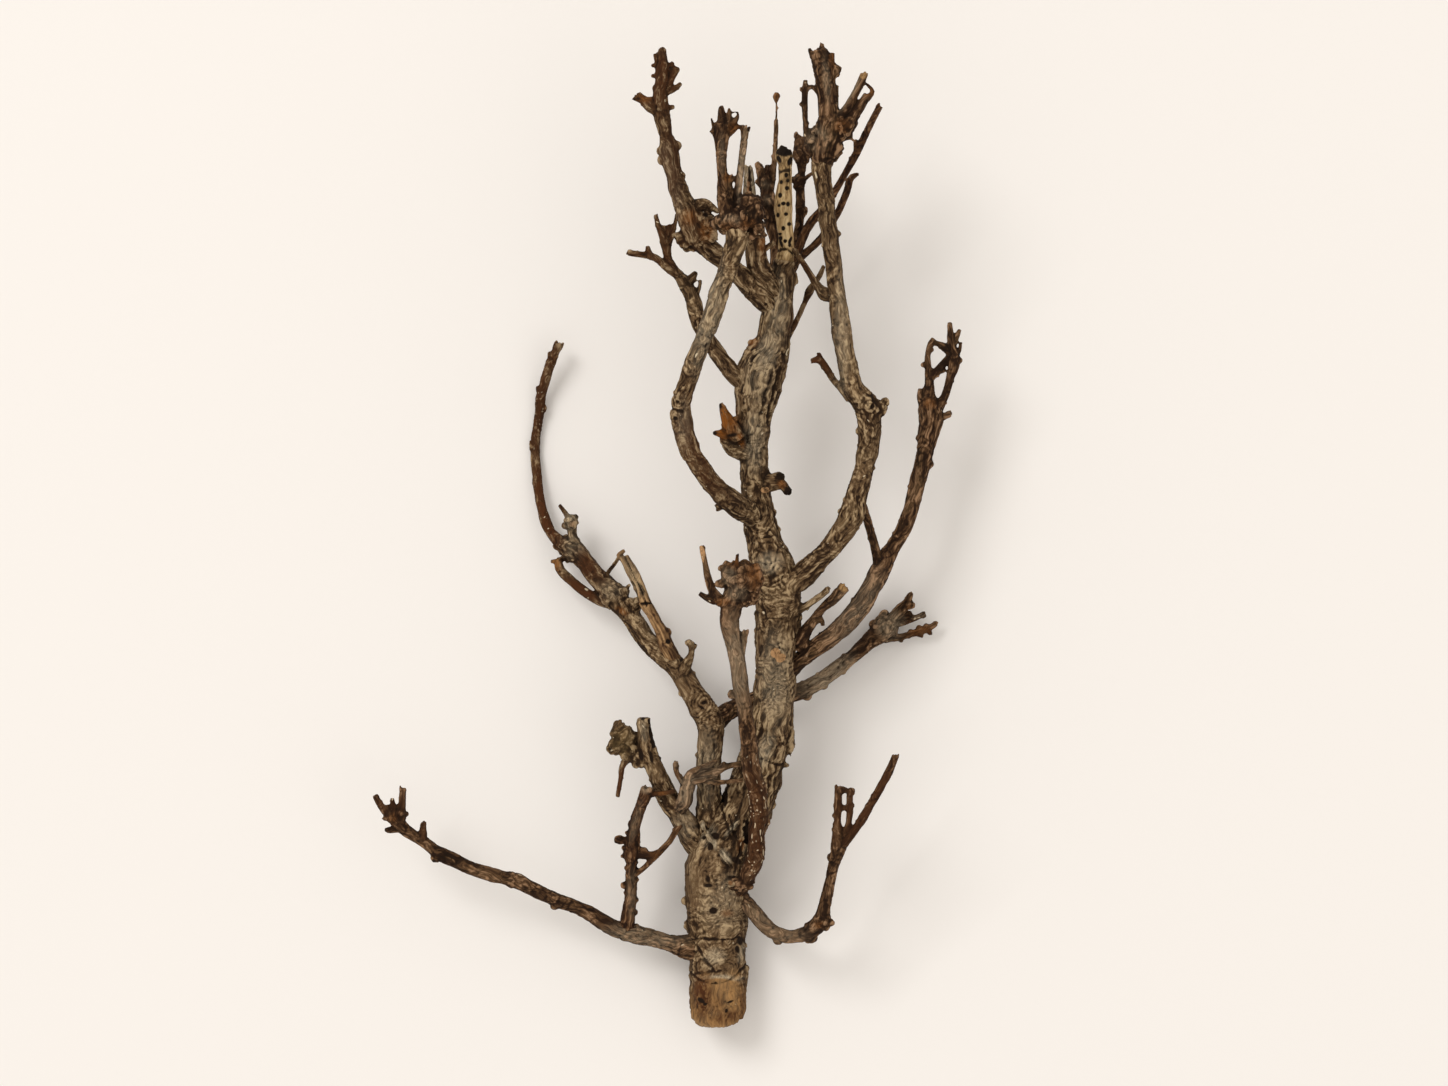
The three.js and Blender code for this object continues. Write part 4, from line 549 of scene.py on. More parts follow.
            [[45.6, 125.4, 32, 0.9], [48, 127.3, 32.4, 1.2], [50.3, 129.5, 33, 0.9],
             [52.6, 131.2, 33.2, 0.7]],
        ],
        "knots": [[49.5, 117.3, 31, 1.5, 2.1, 1.4], [48.2, 137, 31.6, 2.5, 2.8, 2.3],
            [47.4, 142, 31.6, 1.9, 2.2, 1.7],
            [47.6, 128.4, 31.2, 2.3, 2.3, 2.3]],
    },
    "back_twig_upper": {
        "bark": "redBark",
        "limbs": [
            [[46.2, 100.4, 34.6, 2.0], [47.9, 105, 35, 1.8], [49.7, 109.4, 35.4, 1.7],
             [52, 113.4, 35.8, 1.7],
             [55, 116.8, 36.4, 1.7], [58.8, 121.8, 37.2, 1.5], [62.4, 127.6, 38, 1.4],
             [65.6, 133.2, 38.6, 1.4],
             [68.6, 138.6, 39.2, 1.5], [71.6, 145, 39.8, 1.4], [74.2, 150.4, 40.4, 1.3],
             [76.9, 155.4, 41, 1.3]],
        ],
        "knots": [[68.3, 141.3, 39.6, 1.4, 2.2, 1.3]],
    },
    "back_twig_lower": {
        "bark": "redBark",
        "limbs": [
            [[46.4, 99.2, 33, 1.9], [48.7, 101.2, 31.4, 1.7], [51.4, 103.3, 30.8, 1.5],
             [54.5, 106.3, 30.8, 1.5],
             [58, 110.8, 31, 1.4], [61, 115.6, 31.2, 1.4], [63.2, 120.4, 31.4, 1.4], [65, 125, 31.6, 1.5],
             [65.8, 128.6, 31.8, 1.4]],
            [[65, 127.6, 32, 1.4], [67, 129.8, 32.2, 1.2], [69.2, 130.8, 32.4, 0.6]],
        ],
        "knots": [],
    },
}

# Marks in the plan's millimetres: [x, y, radius in x, radius in y, turn in degrees, strength].
# Bare has no bark, cross turns the grain round the limb, calm flattens it and dotted adds pale pores.
marks = {
    "trunk": {
        "bare": [[18.5, -170, 12, 9, 0, 1.0], [18.2, -163.2, 8, 3, 0, 0.9], [13.5, -160, 3, 4, 30, 0.35],
            [24, -159, 3, 3, -30, 0.35]],
        "pale": [[35.2, -78, 3.2, 7, -20, 0.4], [37, -10, 5, 4, 0, 0.4], [14, -108, 4, 5, 0, 0.3],
            [31.5, 34, 4, 12, 0, 0.35], [36, 66, 4, 12, -15, 0.4], [22, -130, 5, 8, 0, 0.2],
            [21, -116.4, 1.6, 3.2, 35, 0.9], [23, -106.4, 1.1, 4, -38, 0.8], [20, -160.4, 7, 1.2, 0, 0.7],
            [17, -152.5, 4, 3, 0, 0.4], [27, -151, 1.4, 4, -20, 0.4], [39, -52, 6, 18, 0, 0.3],
            [40, 82, 4, 14, 0, 0.3], [33, 56, 6, 10, 0, 0.2], [12.6, -105.2, 0.9, 1.8, -20, 0.7],
            [14.2, -108.2, 1.0, 2.2, 30, 0.7], [15.4, -110.8, 0.9, 1.7, 0, 0.7],
            [16.9, -112, 0.9, 2.2, 10, 0.8], [20, -135, 8, 9, 0, 0.15]],
        "orange": [[21, 42, 4.5, 7, 15, 1.0], [19, 36.6, 4, 2.4, 0, 1.0], [26.4, 34.6, 1.3, 3.4, 25, 0.9],
            [26.5, -112.6, 1.4, 2.8, -15, 0.9], [22.8, -126, 1.0, 0.9, 0, 0.8], [30.6, 69.9, 2, 2, 0, 0.6],
            [21.6, -137, 2.6, 1.5, 0, 0.4], [41.4, 18.4, 1.8, 1.8, 0, 0.7]],
        "dark": [[24.5, -117, 2.6, 6, -25, 0.7], [22, -108, 2, 4, -20, 0.6], [44, -30, 3, 6, -20, 0.5],
            [26.5, -131, 2, 2, 0, 0.7], [38.8, 51, 2.4, 10, 8, 0.7], [17.5, -102, 3.2, 6, 0, 0.7],
            [23, -113.5, 4, 5, -30, 0.5], [10, -146, 4, 3, 20, 0.4], [41, 40, 2, 18, 5, 0.5],
            [13.5, -157, 5, 2.6, 35, 0.5], [46, -30, 3, 14, 0, 0.5], [30, -20, 2.4, 14, 0, 0.35],
            [33, 30, 3, 12, 0, 0.35], [24, 38, 3, 4, 0, 0.5], [12.5, -168, 3, 3, 0, 0.5],
            [22, -170.4, 4, 2.4, 0, 0.35], [48.6, 82, 2.6, 10, -25, 0.8], [43.6, 64, 2.2, 11, 0, 0.6],
            [38.8, 50, 2.5, 10, -20, 0.5], [6.9, -132.3, 1.9, 1.6, 0, 0.9], [7, -141, 1.4, 3, 0, 0.8],
            [29, -157, 1.4, 1.4, 0, 0.8], [16.6, 37, 1.6, 1.2, 0, 0.9], [18.8, 46.6, 1.2, 2.2, 0, 0.7]],
        "black": [[12.2, -168.5, 1.5, 0.8, -35, 1.0], [13.5, -169.9, 0.9, 0.5, 0, 0.8],
            [22.6, -169, 1.5, 0.45, 20, 0.7], [21.3, -172.3, 0.6, 0.8, 0, 0.9],
            [10.6, -170.6, 0.6, 1.0, 0, 0.5], [16.5, -136, 1.5, 1.2, 0, 1.0],
            [28.8, -107, 0.9, 4.5, 0, 1.0], [41, 21.6, 2, 1.6, 0, 0.9], [44, 15.4, 2.2, 2.2, 0, 1.0],
            [16.6, 36.9, 1.4, 1.2, 0, 0.7], [18.9, 47, 0.9, 1.6, 0, 0.6], [23.4, 36.2, 2.6, 0.9, 10, 0.5],
            [20.8, -95, 0.8, 3.6, -8, 1.0], [14.4, -105.8, 0.7, 1.0, 30, 0.9],
            [13.2, -109.6, 0.8, 0.7, 0, 0.9], [15.4, -112.8, 0.9, 1.4, 20, 1.0],
            [17.4, -109, 1.1, 1.2, 0, 1.0], [25, -118, 2.2, 1.2, -30, 0.9],
            [26.4, -115.6, 0.7, 1.2, -25, 0.9], [24.4, -124.4, 1.6, 0.7, 0, 0.8],
            [14.5, -124.6, 0.9, 1.3, 0, 0.8], [14.6, -127, 1.8, 0.7, 0, 0.8],
            [26.4, -147, 1.2, 1.6, 0, 0.9], [25.4, -150, 0.8, 1.6, 20, 0.8],
            [17, -108.4, 1.2, 0.8, 0, 0.9], [15, -113, 0.7, 1.3, 0, 0.9]],
        "red": [[12.5, -167, 4, 9, 0, 1.0], [22, -174.5, 8, 3, 10, 0.8], [27, -170, 2, 8, 0, 0.6],
            [18, -171, 3, 6, 0, 0.5], [21, 42, 5, 8, 15, 0.25], [48, 81, 2.4, 9, -28, 0.8]],
        "cross": [[18, -142, 13, 22, 0, 0.95], [38, -24, 10, 18, 0, 0.7], [38, -54, 9, 13, 0, 0.6]],
        "tan": [[39.1, -42.8, 1.9, 2.1, 10, 1.0], [41.0, -44.6, 2.1, 1.7, 20, 1.0],
            [35.4, 16.2, 1.6, 1.1, 0, 1.0]],
        "calm": [[9.5, -125, 4.5, 15, 0, 0.72], [14, -134, 7, 5, 0, 0.48], [18, -117, 8, 6, 0, 0.4],
            [14, -96, 4.5, 8, 0, 0.64], [26.5, -97, 3.5, 6, 0, 0.56], [20, -151, 7, 5, 0, 0.4],
            [18, -140, 10, 20, 0, 0.5]],
    },
    "bare_stub": {
        "black": [[42.2, 139.6, 4.4, 2.6, 0, 1.0], [43, 130.3, 0.8, 0.9, 0, 0.9],
            [43.6, 128.3, 0.7, 0.7, 0, 0.8], [41.1, 127.8, 0.7, 0.8, 0, 0.8],
            [43.3, 125.6, 0.9, 0.8, 0, 0.9], [40.7, 123, 0.8, 1.0, 0, 0.9], [41.9, 120, 0.9, 0.7, 0, 0.9],
            [40.4, 119.3, 0.6, 0.6, 0, 0.8], [43.6, 119.8, 0.8, 0.9, 0, 0.9],
            [42.9, 116.2, 0.8, 0.7, 0, 0.9], [39.8, 115.8, 0.7, 0.9, 0, 0.8],
            [44, 112.6, 0.8, 0.8, 0, 0.8], [41.8, 111, 0.8, 0.9, 0, 0.9], [40.7, 107.5, 0.8, 0.8, 0, 0.8],
            [42.5, 106.4, 0.8, 0.7, 0, 0.9], [44.3, 105, 0.7, 0.8, 0, 0.8], [40.2, 136, 0.9, 1.6, 30, 0.8],
            [44.4, 135.4, 0.9, 1.8, -20, 0.9], [41, 105.5, 0.5, 1.8, 20, 0.9],
            [44.4, 106.6, 0.6, 1.6, -20, 0.9], [40.4, 109, 0.9, 0.5, 0, 0.8]],
    },
    "left_branch": {
        "red": [[-44, 12, 6, 24, 8, 1.0], [-47, 45, 6, 26, 0, 0.95], [-31, -19.6, 9, 3.4, -28, 1.0],
            [-27, -12.4, 7, 3.4, -50, 0.6], [-42, 66, 5, 8, 0, 0.7], [-29, -11, 4.5, 7, 35, 0.8]],
        "orange": [[-40.4, -11, 1.8, 3, 0, 0.55], [-16.6, -27.6, 2.6, 1.4, -30, 0.55],
            [-34.5, 4, 1.6, 1.6, 0, 0.4]],
        "dark": [[7.8, -39.2, 2, 2, 0, 0.45], [-39.5, 68.5, 2.6, 2.4, 0, 0.45],
            [12.5, -92, 1, 10, 0, 0.45], [-47, 45, 4, 26, 0, 0.6], [-38, -6, 3, 3, 0, 0.4],
            [-17, -18, 3, 3, 0, 0.4], [-27, -14, 16, 10, -35, 0.35]],
        "cross": [[15.5, -67, 7, 8, 0, 0.7]],
        "bare": [[-40.5, -10, 2, 2.6, 0, 0.5]],
        "black": [[13.2, -60.6, 1.2, 0.7, 20, 0.9], [12.2, -62.4, 1.6, 0.5, -30, 0.8]],
        "calm": [[8, -57, 6, 14, 35, 0.6], [14, -80, 5, 12, 0, 0.3]],
        "dotted": [[-44.5, 3, 3, 8, 0, 0.8], [-31, -20, 7, 3, -35, 0.8], [-47, 45, 4, 20, 0, 0.3]],
        "pale": [[-34, -4, 5, 6, 0, 0.22], [-21, -20, 5, 4, 0, 0.22], [-35.5, 4.6, 3.4, 3.4, 0, 0.45],
            [14, -84, 5, 14, 0, 0.25]],
    },
    "split_twig": {
        "pale": [[-12.5, -15, 3.4, 9, 28, 0.6]],
        "dark": [[0.5, -40, 3, 5, 20, 0.5]],
        "black": [[0.2, -38.6, 1.0, 0.9, 0, 0.9]],
    },
    "left_stub_branch": {
        "olive": [[-16.4, -75, 5.5, 6, 0, 0.6]],
        "pale": [[-8.7, -70.6, 1.7, 5, 6, 0.3], [6, -105, 5, 7, -30, 0.2]],
        "black": [[-9.6, -80, 0.9, 2.2, 10, 0.9], [-5.9, -80.5, 0.7, 2.4, 10, 0.9],
            [-9, -66.5, 0.7, 0.5, 0, 0.8]],
        "dark": [[-12.5, -80, 3.4, 4, 0, 0.4], [-8, -71, 4, 5, 0, 0.3]],
        "red": [[-16.6, -89, 3, 8, 0, 0.9]],
        "calm": [[6, -104, 6, 9, -30, 0.5]],
    },
    "left_stub_twigs": {
        "pale": [[6.5, -93, 4, 8, -15, 0.35], [15, -86, 6, 4, 20, 0.2], [2.9, -82.6, 2, 2, 0, 0.2]],
        "dark": [[8, -93, 3, 6, -20, 0.2], [19, -85, 4, 2, 20, 0.5], [6, -98.5, 3, 1.6, 0, 0.5]],
    },
    "low_left_branch": {
        "red": [[-100, -97, 8, 8, 0, 0.5], [-88, -107, 2, 5, 0, 0.5]],
        "orange": [[-99.5, -102.5, 1.8, 1.6, 0, 0.55]],
        "dark": [[-98.8, -101.8, 5, 4.4, 0, 0.7], [-84, -116.8, 2.4, 2.4, 0, 0.5],
            [-56.4, -124.6, 2.2, 3, 0, 0.3]],
        "pale": [[-10, -146, 20, 7, 8, 0.28]],
    },
    "low_left_twig": {
        "dark": [[-13.2, -114, 3.6, 4, 0, 0.4], [5, -104, 1.8, 1.6, 0, 0.9]],
        "pale": [[-7.9, -91.8, 2.4, 2, 0, 0.5], [-13, -130, 2, 10, 0, 0.2],
            [-11.5, -104, 1.6, 8, -15, 0.2]],
        "orange": [[-2.4, -93.6, 3, 1.4, 0, 0.5], [-4, -116, 2.6, 1.6, 0, 0.4]],
    },
    "hook_branch": {
        "red": [[73, -96, 14, 20, -30, 0.7]],
        "orange": [[54.8, -141.2, 1.6, 1.4, 0, 0.55]],
        "dark": [[52, -143.5, 4.6, 3.6, 0, 0.5], [56.2, -139.8, 3.4, 3, 0, 0.5],
            [61.6, -113.5, 3, 4, 0, 0.4], [63.6, -92.4, 4, 2.4, 0, 0.7], [26.5, -131, 2.6, 2.6, 0, 0.7]],
        "pale": [[38, -141, 15, 7, -25, 0.2]],
        "calm": [[38, -141, 14, 7, -25, 0.3]],
    },
    "right_low_branch": {
        "orange": [[91.5, -34.5, 5, 2, 0, 0.5], [87.8, -26.4, 1.6, 1.4, 0, 0.4]],
        "dark": [[94, -35, 4, 3, 0, 0.3]],
        "red": [[92, -35, 8, 5, 0, 0.5]],
        "pale": [[80.5, -32.5, 5.5, 5.5, 0, 0.5], [57, -50, 12, 7, 35, 0.6], [91, -29.4, 3, 1.4, 20, 0.2]],
    },
    "front_branch": {
        "red": [[31, -106, 6, 24, 0, 0.75]],
        "orange": [[19.5, -24.4, 3.4, 1.5, 10, 0.55], [31.5, -14, 3.4, 6, 0, 0.55],
            [24, -9.6, 3, 2.4, 0, 0.5]],
        "dark": [[26.5, -18, 8, 9, 0, 0.25], [26.8, -125.4, 4, 3.4, 0, 0.5]],
        "dotted": [[31, -104, 8, 26, 0, 1.0]],
        # The first pale mark paints a sheen of light along the front branch
        "pale": [[25, -46, 5, 18, 5, 0.32], [22, -15, 3, 4, 0, 0.3], [25, -21, 4, 3, 0, 0.3]],
        "tan": [[12.4, -7, 1.8, 4.4, 0, 0.5]],
        "calm": [[24.5, -44, 6, 22, 5, 0.4]],
    },
    "right_arc_branch": {
        "pale": [[63, 72, 3, 26, 0, 0.25]],
        "dark": [[77, 46, 3.6, 3, 0, 0.6], [54, 90, 4, 8, -35, 0.5], [57, 60, 6, 6, 0, 0.6],
            [66.5, 8.5, 2, 2, 0, 0.3], [72, 36, 5, 12, 0, 0.42], [55, -9, 9, 6, 45, 0.25]],
        "black": [[74, 46.5, 1.0, 0.8, 0, 0.7]],
        "red": [[55, 62, 6, 6, 0, 1.0], [50, 96, 5, 7, 45, 0.4]],
        "calm": [[64, 68, 6, 18, 8, 0.55], [60, 102, 5, 22, 5, 0.3], [72, 26, 5, 10, -5, 0.5],
            [62, 0, 8, 12, -35, 0.3]],
    },
    "right_top_branch": {
        "orange": [[63, 148, 3, 3, 0, 0.55], [59.6, 172, 1.4, 3, 0, 0.55], [55, 142, 2, 3, 0, 0.4],
            [73, 160.5, 2, 2, 0, 0.55]],
        "bare": [[71, 166.4, 1.6, 1.4, 0, 0.9]],
        "dark": [[58, 147, 10, 6, 0, 0.35], [54, 140, 4, 6, 0, 0.35], [56, 173, 4, 4, 0, 0.35],
            [50, 158, 3, 8, 0, 0.4]],
        "pale": [[54, 143.5, 4, 5, 0, 0.35], [57.5, 165, 1.6, 9, 5, 0.2], [66, 160, 1.5, 8, -30, 0.3]],
    },
    "right_outer_branch": {
        "bare": [[63.8, -19, 2, 1.8, 0, 0.6]],
        "orange": [[95, 47.5, 2.4, 2, 0, 0.5]],
        "dark": [[48.5, -36, 3.6, 5.5, 0, 0.7], [95.5, 45, 5, 5, 0, 0.3], [102, 66, 4, 4, 0, 0.2],
            [97, 60, 3, 5, 0, 0.2], [101.8, 44, 2.5, 2, 0, 0.9]],
        "pale": [[68, -26, 7, 16, -35, 0.2]],
    },
    "front_arc_branch": {
        "pale": [[6, 40, 3, 10, 0, 0.25], [14, 80, 8, 26, 0, 0.3]],
        "dark": [[3.5, 48.5, 3, 3, 0, 0.5], [3, 43.5, 2, 2.6, 0, 0.4], [17.6, 9.6, 1.6, 1.4, 0, 0.7]],
        "black": [[3.6, 48.2, 0.8, 0.7, 0, 0.7], [2.8, 42.2, 0.9, 0.8, 0, 0.8]],
        "red": [[12, 30, 12, 24, 0, 0.5]],
    },
    "front_top_branch": {
        "orange": [[29, 113, 3, 2.4, 0, 0.55], [22, 112, 3, 2, 0, 0.5], [24, 147, 2.4, 2.4, 0, 0.55],
            [21.8, 129.5, 1.6, 2, 0, 0.55]],
        "dark": [[26, 115, 9, 8, 0, 0.4], [21, 150, 5, 5, 0, 0.45]],
        "black": [[24.2, 122, 0.6, 2, 0, 0.9]],
        "pale": [[27, 134, 1.5, 14, -6, 0.4], [19.6, 138, 1.4, 8, 0, 0.15], [23, 114, 4, 2.4, 0, 0.25]],
    },
    "inner_branch": {
        "orange": [[34.2, 107.5, 1.8, 7, 0, 0.55], [29.4, 126, 1.0, 5, 0, 0.8]],
        "pale": [[29.6, 128, 2.8, 8, 0, 0.6]],
        "dark": [[30.4, 125, 0.8, 8, 0, 0.8], [28, 124, 0.5, 5, 0, 0.6]],
    },
    "upper_left_branch": {
        "orange": [[14, 110, 3, 4, 0, 0.55], [8, 115, 3, 3, 0, 0.5], [-9, 158, 3, 2, 0, 0.5]],
        "dark": [[11, 111, 8, 9, 0, 0.3], [-5, 155, 4, 4, 0, 0.5], [0.5, 168, 4, 4, 0, 0.5],
            [-2, 175, 2, 3, 0, 0.6], [1, 136, 7, 18, 0, 0.7], [-3, 165, 8, 14, 0, 0.5]],
        "black": [[13.8, 116, 0.9, 0.8, 0, 0.9]],
        "red": [[1, 134, 6, 18, 0, 0.7], [-3, 164, 10, 14, 0, 0.9], [8, 110, 9, 9, 0, 0.4]],
        "pale": [[2, 128, 3, 12, 10, 0.2], [-0.5, 138, 2.5, 5, 0, 0.25]],
    },
    "thin_left_branch": {
        "dark": [[-0.5, 106, 2.6, 3, 0, 0.5], [10, 94.5, 1.6, 2, 0, 0.5]],
        "red": [[-4, 106, 12, 14, 0, 0.6]],
    },
    "dark_upright_left": {
        "dark": [[36, 122, 4, 20, 0, 0.35], [39.3, 150, 1.6, 12, 0, 0.6]],
        "pale": [[35.4, 127, 2, 2, 0, 0.3], [36.4, 121, 2, 2.4, 0, 0.2]],
        "orange": [[39.4, 158.6, 1.6, 2.4, 0, 0.7]],
    },
    "dark_upright_right": {
        "dark": [[48, 122, 4, 26, 0, 0.4]],
    },
}

# Dark cracks and hollows: a line of [x, y], then half width and depth in millimetres, and how dark it is
cracks = {
    "trunk": [
        [[[7, -146.4], [13, -146.2], [18, -146.6], [23, -146.3], [26, -145.6]], 0.3, 0.35, 1.1],
        [[[9.5, -147.5], [12, -151], [14.5, -155], [17, -157.5]], 0.35, 0.4, 0.9],
        [[[8, -158], [11.5, -161], [15.5, -162.4], [19, -162.4], [22.5, -161], [25.5, -158.4],
         [28.4, -155.5]],
         0.35, 0.5, 0.7],
        [[[11, -158.6], [15, -158.2], [19, -157.8]], 0.4, 0.3, 0.8],
        [[[19.5, -96], [20.5, -92.5], [22, -90], [22.6, -86.5]], 0.45, 0.8, 1.4],
        [[[28.8, -110.5], [28.6, -107], [29, -104.4]], 0.9, 1.2, 1.8],
        [[[36.6, 43], [38, 49], [39.6, 55], [40.6, 61]], 0.5, 0.9, 0.7],
        [[[34, 44], [35.4, 51], [38, 59]], 0.3, 0.4, 0.6],
        [[[24.5, -122], [25.5, -117], [27.5, -111]], 0.35, 0.6, 0.9],
        [[[18.4, -113.6], [21, -117], [23.4, -120.4]], 0.3, 0.5, 1.0],
        [[[20.4, -109.8], [23, -107.2], [25.6, -104]], 0.3, 0.5, 1.0],
        [[[22, -101], [24, -108], [27, -116]], 0.3, 0.5, 0.8],
        [[[19, -98], [21.4, -105], [23, -110]], 0.3, 0.5, 0.8],
        [[[34, -81], [37.5, -82.5], [40.2, -83.4], [43, -82.2]], 0.35, 0.35, 0.9],
        [[[32.6, -31], [38, -30], [43, -30.6], [47, -29.6]], 0.2, 0.2, 0.4],
    ],
    "split_twig": [
        [[[-7.6, -25.5], [-9.4, -20], [-12.4, -14.4], [-15.4, -8]], 0.25, 0.6, 0.9],
        [[[-10.4, -24.4], [-11.6, -19.4], [-14, -14.6]], 0.2, 0.4, 0.8],
        [[[-9.6, -25], [-7, -24.6], [-5.6, -24.4]], 0.35, 0.6, 1.2],
    ],
    "front_arc_branch": [[[[0.4, 45.7], [2.6, 45.2], [5.6, 44.6]], 0.4, 0.5, 1.3]],
    "left_stub_branch": [[[[-6.4, -66.8], [-5.8, -71], [-5, -76]], 0.55, 0.6, 1.6]],
    "inner_branch": [[[[30.2, 120], [30, 126], [29.7, 133]], 0.4, 0.8, 1.6]],
    "left_branch": [
        [[[17, -76], [16.6, -84], [16.8, -92]], 0.25, 0.3, 0.7],
        [[[12.4, -78], [12.6, -86], [12.8, -94]], 0.25, 0.3, 0.7],
    ],
    "bare_stub": [[[[39.6, 102.6], [41.4, 103.6], [43.4, 103.4], [45.4, 102]], 0.35, 0.4, 1.2],
                  [[[40.6, 131.6], [42.4, 132], [44.2, 132]], 0.3, 0.2, 1.6]],
}

# Where the grain flows round a lost limb: [x, y, radius of the whole swirl, space between its rings]
swirls = {
    "trunk": [[37, -10, 8, 1.6], [43, -17, 6, 1.4], [40.5, -44, 6, 1.3], [16.5, -136, 6, 1.3],
        [36, 60, 7, 1.8],
              [29.8, 69.6, 5, 1.2], [22.5, -85, 5, 1.3]],
    "left_branch": [[13.2, -60.8, 5, 1.1], [15.9, -68, 5, 1.2]],
    "right_arc_branch": [[73.8, 46.4, 6, 1.2], [66.8, 8.4, 5, 1.2]],
    "front_arc_branch": [[3.6, 48.3, 3.4, 0.9], [2.9, 42.3, 2.8, 0.8]],
}


def fromPlan(rows):
    rows = np.array(rows, float)
    nearness = 1 - rows[:, 2:3] / plan["eyeHeight"]
    eye = np.array(plan["eye"])
    flat = (eye + (rows[:, :2] - eye) * nearness) * plan["scale"] + np.array(plan["shift"])
    height = rows[:, 2:3] * plan["scale"] + plan["lift"]
    return np.hstack([flat, height, rows[:, 3:] * nearness * plan["scale"]])


def toPlan(points):
    height = (points[:, 2:3] - plan["lift"]) / plan["scale"]
    nearness = 1 - height / plan["eyeHeight"]
    eye = np.array(plan["eye"])
    return eye + ((points[:, :2] - np.array(plan["shift"])) / plan["scale"] - eye) / nearness


def smoothLine(stations, spacing):
    points = stations[:, :3]
    ends = np.vstack([2 * points[0] - points[1], points, 2 * points[-1] - points[-2]])
    made = []
    for i in range(len(points) - 1):
        before, start, end, after = ends[i:i + 4]
        spans = ((before, start), (start, end), (end, after))
        gaps = [max(np.linalg.norm(b - a) ** 0.5, 1e-4) for a, b in spans]
        leave = (start - before) / gaps[0] - (end - before) / (gaps[0] + gaps[1]) + (end - start) / gaps[1]
        arrive = (end - start) / gaps[1] - (after - start) / (gaps[1] + gaps[2]) + (after - end) / gaps[2]
        leave, arrive = leave * gaps[1], arrive * gaps[1]
        count = max(1, round(np.linalg.norm(end - start) / spacing))
        t = (np.arange(count) / count)[:, None]
        place = (start + leave * t + (3 * (end - start) - 2 * leave - arrive) * t ** 2
                 + (2 * (start - end) + leave + arrive) * t ** 3)
        radius = stations[i, 3] + (stations[i + 1, 3] - stations[i, 3]) * t
        made.append(np.hstack([place, radius]))
    return np.vstack(made + [stations[-1:, :4]])


def lineFrames(line):
    along = np.gradient(line[:, :3], axis=0)
    along /= np.linalg.norm(along, axis=1, keepdims=True)
    side = np.cross(along, [0, 0, 1])
    side /= np.linalg.norm(side, axis=1, keepdims=True)
    over = np.cross(side, along)
    lengths = np.linalg.norm(np.diff(line[:, :3], axis=0), axis=1)
    return along, side, over, np.concatenate([[0], np.cumsum(lengths)])


def tubeShell(line, sides):
    along, side, over, lengths = lineFrames(line)
    turn = np.linspace(0, 2 * np.pi, sides, endpoint=False)
    ring = (side[:, None] * np.cos(turn)[None, :, None] + over[:, None] * np.sin(turn)[None, :, None])
    points = (line[:, None, :3] + ring * line[:, None, 3:4]).reshape(-1, 3)
    faces = []
    for row in range(len(line) - 1):
        for k in range(sides):
            a, b = row * sides + k, row * sides + (k + 1) % sides
            faces.append([a, a + sides, b + sides, b])
    faces.append(list(range(sides)))
    faces.append([(len(line) - 1) * sides + k for k in reversed(range(sides))])
    return points, faces


def knotShell(knot, rings=8, sides=14):
    turn = np.linspace(0, 2 * np.pi, sides, endpoint=False)
    tilt = np.linspace(0, np.pi, rings + 2)[1:-1]
    points = [[0, 0, 1]]
    for t in tilt:
        points += [[np.sin(t) * np.cos(a), np.sin(t) * np.sin(a), np.cos(t)] for a in turn]
    points.append([0, 0, -1])
    faces = [[0, 1 + k, 1 + (k + 1) % sides] for k in range(sides)]
    for row in range(rings - 1):
        for k in range(sides):
            a, b = 1 + row * sides + k, 1 + row * sides + (k + 1) % sides
            faces.append([a, a + sides, b + sides, b])
    last = 1 + (rings - 1) * sides
    faces += [[last + k, last + sides, last + (k + 1) % sides] for k in range(sides)]
    return np.array(points) * knot[3:6] + knot[:3], faces


def latticeNoise(points, seed):
    cell = np.floor(points).astype(np.int64)
    part = points - cell
    part = part * part * (3 - 2 * part)
    total = np.zeros(len(points))
    for corner in range(8):
        step = np.array([corner & 1, corner >> 1 & 1, corner >> 2 & 1])
        at = (cell + step).astype(np.uint64)
        mixed = (at[:, 0] * np.uint64(374761393) + at[:, 1] * np.uint64(668265263)
                 + at[:, 2] * np.uint64(2246822519) + np.uint64(seed * 3266489917))
        mixed = (mixed ^ (mixed >> np.uint64(13))) * np.uint64(1274126177)
        mixed ^= mixed >> np.uint64(16)
        value = (mixed & np.uint64(65535)).astype(float) / 65535
        weight = np.prod(np.where(step == 1, part, 1 - part), axis=1)
        total += value * weight
    return total * 2 - 1


def layeredNoise(points, seed, layers=3):
    total, weight = np.zeros(len(points)), 1.0
    for layer in range(layers):
        total += latticeNoise(points * 2 ** layer, seed + layer) * weight
        weight *= 0.5
    return total


def blob(flat, mark):
    x, y, radiusX, radiusY, turn, strength = mark
    turn = np.radians(turn)
    dx, dy = flat[:, 0] - x, flat[:, 1] - y
    u = (dx * np.cos(turn) + dy * np.sin(turn)) / radiusX
    v = (dy * np.cos(turn) - dx * np.sin(turn)) / radiusY
    return np.clip(1.6 - 1.3 * np.sqrt(u * u + v * v), 0, 1) * strength


def lineDistance(flat, points):
    nearest = np.full(len(flat), 1e9)
    for a, b in zip(np.array(points[:-1], float), np.array(points[1:], float)):
        share = np.clip(((flat - a) @ (b - a)) / ((b - a) @ (b - a)), 0, 1)
        nearest = np.minimum(nearest, np.linalg.norm(flat - a - share[:, None] * (b - a), axis=1))
    return nearest


